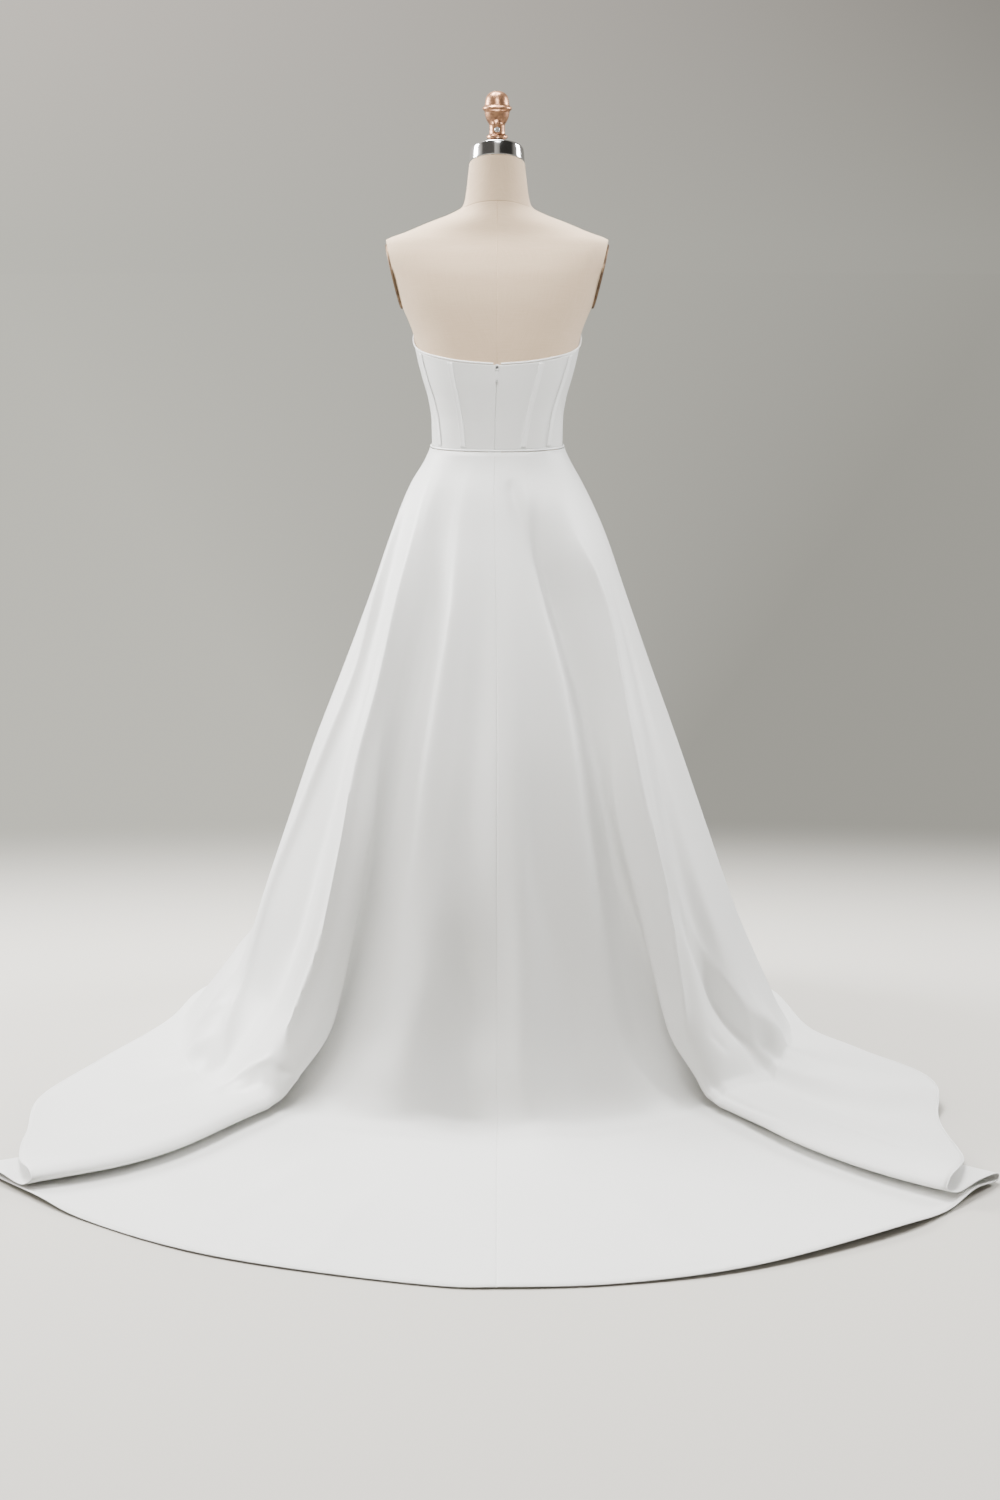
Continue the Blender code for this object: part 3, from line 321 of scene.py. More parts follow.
def spline(p0: Array, p1: Array, p2: Array, p3: Array, t: Array) -> Array:
    """Centripetal spline between p1 and p2, for many rows at once.

    Args:
        p0: the points before, a row each.
        p1: the points where the span starts.
        p2: the points where it ends.
        p3: the points after.
        t: shares along the span.

    Returns:
        Rows of points, one for each share.
    """
    d01 = np.maximum(np.sqrt(np.linalg.norm(p1 - p0, axis=-1, keepdims=True)), 1e-5)
    d12 = np.maximum(np.sqrt(np.linalg.norm(p2 - p1, axis=-1, keepdims=True)), 1e-5)
    d23 = np.maximum(np.sqrt(np.linalg.norm(p3 - p2, axis=-1, keepdims=True)), 1e-5)
    m1 = ((p1 - p0) / d01 - (p2 - p0) / (d01 + d12) + (p2 - p1) / d12) * d12
    m2 = ((p2 - p1) / d12 - (p3 - p1) / (d12 + d23) + (p3 - p2) / d23) * d12
    t = t[None, :, None]
    p1, p2, m1, m2 = (p[:, None, :] for p in (p1, p2, m1, m2))
    start = (2 * t**3 - 3 * t**2 + 1) * p1 + (t**3 - 2 * t**2 + t) * m1
    return start + (3 * t**2 - 2 * t**3) * p2 + (t**3 - t**2) * m2


def grid_normals(points: Array) -> Array:
    """Unit normals of a grid of points, rows going down and columns going round."""
    down = np.gradient(points, axis=0)
    across = np.gradient(points, axis=1)
    return unit(np.cross(down, across))


def arc_lengths(points: Array) -> Array:
    """A cloth's own coordinates in metres: along each row, and down each column."""
    along = np.zeros(points.shape[:2])
    down = np.zeros(points.shape[:2])
    along[:, 1:] = np.cumsum(np.linalg.norm(np.diff(points, axis=1), axis=-1), axis=1)
    down[1:] = np.cumsum(np.linalg.norm(np.diff(points, axis=0), axis=-1), axis=0)
    along -= along[:, [points.shape[1] // 2]]
    return np.stack((along, down), axis=-1)


def rounded(profile: list[tuple[float, float]], times: int) -> list[tuple[float, float]]:
    """A profile with its corners cut round.

    Args:
        profile: radius and height pairs.
        times: how often the corners are cut.

    Returns:
        The finer profile, with the same two ends.
    """
    points = [np.array(p, float) for p in profile]
    for _ in range(times):
        finer = [points[0]]
        for a, b in zip(points[:-1], points[1:]):
            finer += [0.75 * a + 0.25 * b, 0.25 * a + 0.75 * b]
        points = finer + [points[-1]]
    return [(float(p[0]), float(p[1])) for p in points]


def write_mesh(name: str, bm: bmesh.types.BMesh, smooth_angle: float = 40.0) -> bpy.types.Object:
    """Turns a bmesh into an object at the origin.

    Args:
        name: the piece's name.
        bm: the mesh, freed here.
        smooth_angle: edges sharper than this stay crisp, in degrees.

    Returns:
        The new object.
    """
    mesh = bpy.data.meshes.new(name)
    bm.to_mesh(mesh)
    bm.free()
    mesh.shade_smooth()
    mesh.set_sharp_from_angle(angle=math.radians(smooth_angle))
    item = bpy.data.objects.new(name, mesh)
    bpy.context.scene.collection.objects.link(item)
    return item


def place_grid(bm: bmesh.types.BMesh, points: Array, uv: Array | None = None) -> None:
    """Adds a grid to a bmesh and lays it through points.

    Args:
        bm: the mesh that the grid is added to.
        points: rows of columns of points.
        uv: the cloth's own coordinates of those points, in metres.
    """
    rows, columns = points.shape[:2]
    made = bmesh.ops.create_grid(bm, x_segments=columns - 1, y_segments=rows - 1, size=1.0)
    verts = made["verts"]
    flat = np.array([v.co[:2] for v in verts])
    column_of = np.rint((flat[:, 0] + 1.0) * 0.5 * (columns - 1)).astype(int)
    row_of = np.rint((flat[:, 1] + 1.0) * 0.5 * (rows - 1)).astype(int)
    for vertex, place in zip(verts, points[row_of, column_of]):
        vertex.co = place
    if uv is None:
        return
    layer = bm.loops.layers.uv.verify()
    spots = {v: tuple(uv[r, c]) for v, r, c in zip(verts, row_of, column_of)}
    for face in bm.faces:
        for loop in face.loops:
            if loop.vert in spots:
                loop[layer].uv = spots[loop.vert]


def cloth_panel(name: str, points: Array, thickness: float, uv: Array | None = None) -> bpy.types.Object:
    """A thin cloth shell through a grid of its middle surface.

    Args:
        name: the piece's name.
        points: rows of columns, rows going down the cloth.
        thickness: the cloth's thickness.
        uv: the cloth's own coordinates, measured here if not given.

    Returns:
        The panel, with its thickness as a modifier.
    """
    bm = bmesh.new()
    place_grid(bm, points, arc_lengths(points) if uv is None else uv)
    bm.normal_update()
    out = sum(f.normal.dot(Vector((f.calc_center_median().xy.to_3d()))) for f in bm.faces)
    out += sum(f.normal.z * f.calc_area() for f in bm.faces)
    if out < 0.0:
        bmesh.ops.reverse_faces(bm, faces=bm.faces)
    item = write_mesh(name, bm, 60.0)
    shell = item.modifiers.new("thickness", "SOLIDIFY")
    shell.thickness = thickness
    shell.offset = 0.0
    shell.use_even_offset = True
    return item


def closed_grid(name: str, points: Array | list[Array], smooth_angle: float = 40.0) -> bpy.types.Object:
    """A solid through rings of points, the last column of each grid repeating its first.

    Args:
        name: the piece's name.
        points: rings of points, or several such grids for one piece.
        smooth_angle: edges sharper than this stay crisp, in degrees.

    Returns:
        The solid, its open ends filled.
    """
    bm = bmesh.new()
    for grid in points if isinstance(points, list) else [points]:
        place_grid(bm, grid)
    bmesh.ops.remove_doubles(bm, verts=bm.verts, dist=1e-6)
    rims = [e for e in bm.edges if e.is_boundary]
    if rims:
        bmesh.ops.holes_fill(bm, edges=rims)
    bmesh.ops.recalc_face_normals(bm, faces=bm.faces)
    return write_mesh(name, bm, smooth_angle)


def turned_edge(rim: Array, following: Array, out: Array, turn: tuple, gape: Array | float = 0.0) -> Array:
    """The extra columns of a cloth's edge that is turned under at its seam.

    Args:
        rim: the edge's points.
        following: the points beside it.
        out: the outward directions.
        turn: distances from the seam, each with its drop below the surface.
        gape: how far the edge is drawn back from the seam, one number or one for each point.

    Returns:
        The columns, from the seam inwards.
    """
    step = following - rim
    length = np.linalg.norm(step, axis=-1, keepdims=True)
    way = step / np.maximum(length, 1e-9)
    columns = []
    widest = turn[-1][0] + gape
    for distance, drop in turn:
        along = np.minimum(distance + gape, 0.8 * length * (distance + gape) / widest)
        columns.append(rim + way * along - out * drop)
    return np.stack(columns, axis=1)


def thread_row(path: Array, out: Array, pitch: float, radius: float) -> Array:
    """One row of stitches: a thread that dips through the cloth once a stitch.

    Args:
        path: points on the cloth's outer face.
        out: its outward directions.
        pitch: length of a stitch with its gap.
        radius: the thread's radius.

    Returns:
        Rings of points, for closed_grid.
    """
    run = np.concatenate(([0.0], np.cumsum(np.linalg.norm(np.diff(path, axis=0), axis=-1))))
    count = max(int(run[-1] / pitch), 2) * 5 + 1
    spots = np.linspace(0.0, run[-1], count)
    line = np.stack([np.interp(spots, run, path[:, i]) for i in range(3)], axis=-1)
    away = unit(np.stack([np.interp(spots, run, out[:, i]) for i in range(3)], axis=-1))
    lift = np.array((-3.2, 0.3, 0.8, 0.8, 0.3))[np.arange(count) % 5] * radius
    return tube(line + away * lift[:, None], radius, 5)


def tube(path: Array, radius: Array, sides: int, closed: bool = False) -> Array:
    """Rings round a path, for closed_grid.

    Args:
        path: points along the middle.
        radius: the radius, one number or one for each point.
        sides: points round each ring.
        closed: whether the path's end joins its start.

    Returns:
        Rings of points, the last column repeating the first.
    """
    if closed:
        along = unit(np.roll(path, -1, axis=0) - np.roll(path, 1, axis=0))
    else:
        along = unit(np.gradient(path, axis=0))
    level = path * (1.0, 1.0, 0.0)
    out = unit(level - along * np.sum(level * along, axis=-1, keepdims=True))
    up = np.cross(along, out)
    turn = 2 * math.pi * np.arange(sides + 1) / sides
    size = np.broadcast_to(radius, len(path))[:, None, None]
    ring = np.cos(turn)[None, :, None] * out[:, None, :] + np.sin(turn)[None, :, None] * up[:, None, :]
    rings = path[:, None, :] + size * ring
    return np.concatenate((rings, rings[:1])) if closed else rings


def turned_mesh(bm: bmesh.types.BMesh, profile: list[tuple[float, float]], steps: int) -> None:
    """Adds a turned form to a bmesh.

    Args:
        bm: the mesh that it is added to.
        profile: radius and height pairs from pole to pole.
        steps: faces round it.
    """
    verts = [bm.verts.new((radius, 0.0, height)) for radius, height in profile]
    edges = [bm.edges.new(pair) for pair in zip(verts[:-1], verts[1:])]
    bmesh.ops.spin(bm, geom=verts + edges, cent=(0, 0, 0), axis=(0, 0, 1), dvec=(0, 0, 0),
                   angle=2 * math.pi, steps=steps, use_merge=True, use_duplicate=False)
    bmesh.ops.remove_doubles(bm, verts=bm.verts, dist=1e-6)
    bmesh.ops.recalc_face_normals(bm, faces=bm.faces)


def settle(item: bpy.types.Object, material: bpy.types.Material, slot: str, *nodes: str,
           body: str = BODY) -> bpy.types.Object:
    """Dresses a piece and ties it to its body.

    Args:
        item: the piece.
        material: its finish.
        slot: the record's material slot; not used.
        *nodes: the solids that it stands for.
        body: the body that it rides on.

    Returns:
        The same piece.
    """
    item.data.materials.clear()
    item.data.materials.append(material)
    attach(item, body)
    if nodes:
        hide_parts(*nodes)
    LOG.info("%s: %d faces", item.name, len(item.data.polygons))
    return item


class Bench:
    """Adds and joins the nodes of one tree."""

    def __init__(self, tree: bpy.types.NodeTree) -> None:
        """Keeps the tree."""
        self.tree = tree

    def add(self, kind: str, inputs: dict | None = None, **settings: object) -> bpy.types.Node:
        """A new node.

        Args:
            kind: the node's type.
            inputs: values or sockets for its inputs, by name or number.
            **settings: its own properties.

        Returns:
            The node.
        """
        node = self.tree.nodes.new(kind)
        for key, value in settings.items():
            setattr(node, key, value)
        for key, value in (inputs or {}).items():
            if isinstance(value, bpy.types.NodeSocket):
                self.tree.links.new(value, node.inputs[key])
            else:
                node.inputs[key].default_value = value
        return node

    def sum(self, operation: str, a: object, b: object = 0.0, clamp: bool = False) -> bpy.types.NodeSocket:
        """The output of one Math node."""
        return self.add("ShaderNodeMath", {0: a, 1: b}, operation=operation, use_clamp=clamp).outputs[0]

    def colour(self, factor: object, a: object, b: object) -> bpy.types.NodeSocket:
        """A colour between two, by a factor."""
        node = self.add("ShaderNodeMix", {0: factor, 6: a, 7: b}, data_type="RGBA")
        return node.outputs[2]

    def between(self, value: object, low: float, high: float, to_low: float, to_high: float,
                soft: bool = False) -> bpy.types.NodeSocket:
        """A value moved from one range to another, held at its ends."""
        kind = "SMOOTHSTEP" if soft else "LINEAR"
        node = self.add("ShaderNodeMapRange", {0: value, 1: low, 2: high, 3: to_low, 4: to_high},
                        interpolation_type=kind)
        return node.outputs[0]

    def noise(self, vector: object, scale: float, detail: float = 2.0, rough: float = 0.5) -> bpy.types.NodeSocket:
        """The value of a noise texture."""
        inputs = {"Vector": vector, "Scale": scale, "Detail": detail, "Roughness": rough}
        return self.add("ShaderNodeTexNoise", inputs).outputs[0]


def new_group(name: str, inputs: dict[str, str], outputs: dict[str, str]) -> tuple[bpy.types.NodeTree, Bench, bpy.types.Node]:
    """Starts a shader node group.

    Args:
        name: its name.
        inputs: socket types by name.
        outputs: socket types by name.

    Returns:
        The tree, its bench and its group input node.
    """
    tree = bpy.data.node_groups.new(name, "ShaderNodeTree")
    for title, kind in inputs.items():
        tree.interface.new_socket(name=title, in_out="INPUT", socket_type="NodeSocket" + kind)
    for title, kind in outputs.items():
        tree.interface.new_socket(name=title, in_out="OUTPUT", socket_type="NodeSocket" + kind)
    bench = Bench(tree)
    return tree, bench, bench.add("NodeGroupInput")


def thread_group() -> bpy.types.NodeTree:
    """Crossing threads: their height, and a tone that varies from thread to thread."""
    kinds = {"Vector": "Vector", "Across": "Float", "Down": "Float"}
    tree, bench, given = new_group("crossing_threads", kinds, {"Height": "Float", "Tone": "Float"})
    parts = bench.add("ShaderNodeSeparateXYZ", {0: given.outputs["Vector"]})
    u = bench.sum("MULTIPLY", parts.outputs[0], given.outputs["Across"])
    v = bench.sum("MULTIPLY", parts.outputs[1], given.outputs["Down"])
    warp = bench.sum("SINE", bench.sum("MULTIPLY", u, math.pi))
    weft = bench.sum("SINE", bench.sum("MULTIPLY", v, math.pi))
    over = bench.sum("MULTIPLY_ADD", bench.sum("MULTIPLY", warp, weft), 0.5)
    over.node.inputs[2].default_value = 0.5
    rises = bench.add("ShaderNodeMix", {0: over, 2: bench.sum("ABSOLUTE", warp), 3: bench.sum("ABSOLUTE", weft)})
    stretch = bench.add("ShaderNodeCombineXYZ", {0: u, 1: bench.sum("MULTIPLY", v, 0.02)})
    other = bench.add("ShaderNodeCombineXYZ", {0: bench.sum("MULTIPLY", u, 0.02), 1: v})
    one = bench.noise(stretch.outputs[0], 0.8, 1.0)
    two = bench.noise(other.outputs[0], 0.8, 1.0)
    tone = bench.sum("MULTIPLY", bench.sum("ADD", one, two), 0.5)
    bench.add("NodeGroupOutput", {"Height": rises.outputs[0], "Tone": tone})
    return tree


def cockle_group() -> bpy.types.NodeTree:
    """Soft unevenness at two scales: a height and a broad mask."""
    kinds = {"Vector": "Vector", "Scale": "Float"}
    tree, bench, given = new_group("soft_unevenness", kinds, {"Height": "Float", "Mask": "Float"})
    broad = bench.add("ShaderNodeTexNoise", {"Vector": given.outputs["Vector"], "Scale": given.outputs["Scale"],
                                             "Detail": 1.5, "Roughness": 0.4})
    finer_scale = bench.sum("MULTIPLY", given.outputs["Scale"], 4.3)
    fine = bench.add("ShaderNodeTexNoise", {"Vector": given.outputs["Vector"], "Scale": finer_scale,
                                            "Detail": 2.0, "Roughness": 0.45})
    height = bench.sum("MULTIPLY_ADD", fine.outputs[0], 0.25)
    bench.tree.links.new(broad.outputs[0], height.node.inputs[2])
    bench.add("NodeGroupOutput", {"Height": height, "Mask": broad.outputs[0]})
    return tree


@dataclass(frozen=True)
class Workshop:
    """The node groups that more than one finish uses."""

    threads: bpy.types.NodeTree
    cockle: bpy.types.NodeTree


def start_material(name: str) -> tuple[bpy.types.Material, Bench, bpy.types.Node, bpy.types.Node]:
    """A new material with its shader.

    Args:
        name: the material's name.

    Returns:
        The material, its bench, its Principled BSDF and its Texture Coordinate node.
    """
    material = bpy.data.materials.new(name)
    material.use_nodes = True
    bench = Bench(material.node_tree)
    shader = material.node_tree.nodes["Principled BSDF"]
    return material, bench, shader, bench.add("ShaderNodeTexCoord")


@dataclass(frozen=True)
class Satin:
    """White duchess satin: a fine weave with a soft sheen."""

    name: str
    light: tuple = (0.830, 0.830, 0.812, 1.0)
    deep: tuple = (0.795, 0.798, 0.780, 1.0)
    rough: float = 0.46
    warp: float = 3400.0
    weft: float = 900.0
    weave_depth: float = 0.00003
    cockle_depth: float = 0.0007
    cockle_scale: float = 7.0

    def build(self, shop: Workshop) -> bpy.types.Material:
        """Makes the material.

        Args:
            shop: the shared node groups.

        Returns:
            The material.
        """
        material, bench, shader, place = start_material(self.name)
        threads = bench.add("ShaderNodeGroup", node_tree=shop.threads)
        bench.tree.links.new(place.outputs["UV"], threads.inputs["Vector"])
        threads.inputs["Across"].default_value = self.warp
        threads.inputs["Down"].default_value = self.weft
        soft = bench.add("ShaderNodeGroup", node_tree=shop.cockle)
        bench.tree.links.new(place.outputs["Object"], soft.inputs["Vector"])
        soft.inputs["Scale"].default_value = self.cockle_scale
        tone = bench.between(threads.outputs["Tone"], 0.3, 0.7, 0.25, 0.75)
        mask = bench.sum("MULTIPLY_ADD", bench.sum("SUBTRACT", soft.outputs["Mask"], 0.5), 0.6)
        bench.tree.links.new(tone, mask.node.inputs[2])
        colour = bench.colour(mask, self.deep, self.light)
        bench.tree.links.new(colour, shader.inputs["Base Color"])
        rough = bench.between(soft.outputs["Mask"], 0.3, 0.7, self.rough - 0.04, self.rough + 0.05)
        bench.tree.links.new(rough, shader.inputs["Roughness"])
        shader.inputs["Sheen Weight"].default_value = 0.12
        shader.inputs["Sheen Roughness"].default_value = 0.45
        shader.inputs["Specular IOR Level"].default_value = 0.42
        weave = bench.add("ShaderNodeBump", {"Height": threads.outputs["Height"], "Strength": 0.5,
                                             "Distance": self.weave_depth})
        uneven = bench.add("ShaderNodeBump", {"Height": soft.outputs["Height"], "Strength": 0.6,
                                              "Distance": self.cockle_depth, "Normal": weave.outputs[0]})
        bench.tree.links.new(uneven.outputs[0], shader.inputs["Normal"])
        return material


@dataclass(frozen=True)
class Linen:
    """The form's beige cover: a plain weave with slubs, matt."""

    name: str = "linen_cover"
    light: tuple = (0.700, 0.530, 0.365, 1.0)
    deep: tuple = (0.600, 0.436, 0.284, 1.0)
    rough: float = 0.82
    thread: float = 1700.0
    weave_depth: float = 0.00012

    def build(self, shop: Workshop) -> bpy.types.Material:
        """Makes the material.

        Args:
            shop: the shared node groups.

        Returns:
            The material.
        """
        material, bench, shader, place = start_material(self.name)
        threads = bench.add("ShaderNodeGroup", node_tree=shop.threads)
        bench.tree.links.new(place.outputs["UV"], threads.inputs["Vector"])
        threads.inputs["Across"].default_value = self.thread
        threads.inputs["Down"].default_value = self.thread
        soft = bench.add("ShaderNodeGroup", node_tree=shop.cockle)
        bench.tree.links.new(place.outputs["Object"], soft.inputs["Vector"])
        soft.inputs["Scale"].default_value = 5.0
        tone = bench.between(threads.outputs["Tone"], 0.30, 0.70, 0.2, 1.0)
        mask = bench.sum("MULTIPLY_ADD", bench.sum("SUBTRACT", soft.outputs["Mask"], 0.5), 0.8, True)
        bench.tree.links.new(tone, mask.node.inputs[2])
        bench.tree.links.new(bench.colour(mask, self.deep, self.light), shader.inputs["Base Color"])
        rough = bench.between(threads.outputs["Tone"], 0.3, 0.7, self.rough + 0.06, self.rough - 0.06)
        bench.tree.links.new(rough, shader.inputs["Roughness"])
        shader.inputs["Sheen Weight"].default_value = 0.18
        shader.inputs["Specular IOR Level"].default_value = 0.25
        weave = bench.add("ShaderNodeBump", {"Height": threads.outputs["Height"], "Strength": 0.7,
                                             "Distance": self.weave_depth})
        bench.tree.links.new(weave.outputs[0], shader.inputs["Normal"])
        return material


@dataclass(frozen=True)
class Metal:
    """A metal or painted metal with worn and dull patches."""

    name: str
    bright: tuple
    dull: tuple
    metallic: float
    rough: float
    rough_dull: float
    patch: float = 60.0
    grain: float = 900.0
    grain_depth: float = 0.00002
    coat: float = 0.0

    def build(self, shop: Workshop) -> bpy.types.Material:
        """Makes the material.

        Args:
            shop: the shared node groups.

        Returns:
            The material.
        """
        material, bench, shader, place = start_material(self.name)
        soft = bench.add("ShaderNodeGroup", node_tree=shop.cockle)
        bench.tree.links.new(place.outputs["Object"], soft.inputs["Vector"])
        soft.inputs["Scale"].default_value = self.patch
        mask = bench.between(soft.outputs["Mask"], 0.38, 0.64, 0.0, 1.0, True)
        bench.tree.links.new(bench.colour(mask, self.bright, self.dull), shader.inputs["Base Color"])
        rough = bench.between(mask, 0.0, 1.0, self.rough, self.rough_dull)
        bench.tree.links.new(rough, shader.inputs["Roughness"])
        shader.inputs["Metallic"].default_value = self.metallic
        shader.inputs["Coat Weight"].default_value = self.coat
        fine = bench.noise(place.outputs["Object"], self.grain, 3.0, 0.6)
        bump = bench.add("ShaderNodeBump", {"Height": fine, "Strength": 0.4, "Distance": self.grain_depth})
        bench.tree.links.new(bump.outputs[0], shader.inputs["Normal"])
        return material


@dataclass
class Finishes:
    """Every finish of the part, built once."""

    shop: Workshop
    satin: bpy.types.Material = field(init=False)
    painted_highlight_trim: bpy.types.Material = field(init=False)
    thread: bpy.types.Material = field(init=False)
    linen: bpy.types.Material = field(init=False)
    chrome: bpy.types.Material = field(init=False)
    copper: bpy.types.Material = field(init=False)
    steel: bpy.types.Material = field(init=False)
    bronze: bpy.types.Material = field(init=False)
    pole: bpy.types.Material = field(init=False)
    iron: bpy.types.Material = field(init=False)
    enamel: bpy.types.Material = field(init=False)
    painted_shade_steel: bpy.types.Material = field(init=False)

    def __post_init__(self) -> None:
        """Builds the materials."""
        self.satin = Satin("white_satin").build(self.shop)
        # The trim is the same white satin, made paler: painted highlight standing in for the bright reflections along
        # casings, pipings, hem rolls and zip tapes.
        self.painted_highlight_trim = Satin("white_satin_trim_painted_highlight", light=(0.95, 0.95, 0.94, 1.0), deep=(0.92, 0.92, 0.91, 1.0),
                          rough=0.34, cockle_scale=60.0, cockle_depth=0.0001).build(self.shop)
        self.thread = Satin("white_thread", light=(0.86, 0.86, 0.845, 1.0), deep=(0.81, 0.81, 0.80, 1.0),
                            rough=0.5, cockle_scale=200.0, cockle_depth=0.00003).build(self.shop)
        self.linen = Linen().build(self.shop)
        self.chrome = Metal("polished_chrome", (0.74, 0.74, 0.75, 1.0), (0.66, 0.66, 0.67, 1.0), 1.0,
                            0.10, 0.17, patch=26.0).build(self.shop)
        self.copper = Metal("brown_copper", (0.62, 0.33, 0.19, 1.0), (0.30, 0.155, 0.09, 1.0), 0.9,
                            0.30, 0.45, patch=110.0, grain=1500.0, grain_depth=0.00004).build(self.shop)
        self.steel = Metal("screw_steel", (0.66, 0.67, 0.67, 1.0), (0.45, 0.45, 0.45, 1.0), 1.0,
                           0.25, 0.40, patch=300.0).build(self.shop)
        self.bronze = Metal("dark_bronze", (0.20, 0.13, 0.075, 1.0), (0.12, 0.075, 0.045, 1.0), 0.7,
                            0.35, 0.55, patch=70.0, grain_depth=0.00006).build(self.shop)
        self.pole = Metal("satin_steel", (0.62, 0.62, 0.62, 1.0), (0.50, 0.50, 0.50, 1.0), 1.0,
                          0.30, 0.38, patch=30.0).build(self.shop)
        self.iron = Metal("black_paint", (0.045, 0.045, 0.047, 1.0), (0.09, 0.09, 0.088, 1.0), 0.0,
                          0.42, 0.60, patch=18.0, grain=420.0, grain_depth=0.00015, coat=0.1).build(self.shop)
        self.enamel = Metal("white_enamel", (0.86, 0.86, 0.85, 1.0), (0.78, 0.78, 0.76, 1.0), 0.0,
                            0.22, 0.34, patch=500.0, coat=0.3).build(self.shop)
        # Dark steel as painted shade: it darkens the slider's middle and the tab's hole, where shade falls.
        self.painted_shade_steel = Metal("zip_painted_shade_steel", (0.20, 0.20, 0.20, 1.0), (0.11, 0.11, 0.11, 1.0), 0.8,
                                0.30, 0.45, patch=800.0).build(self.shop)


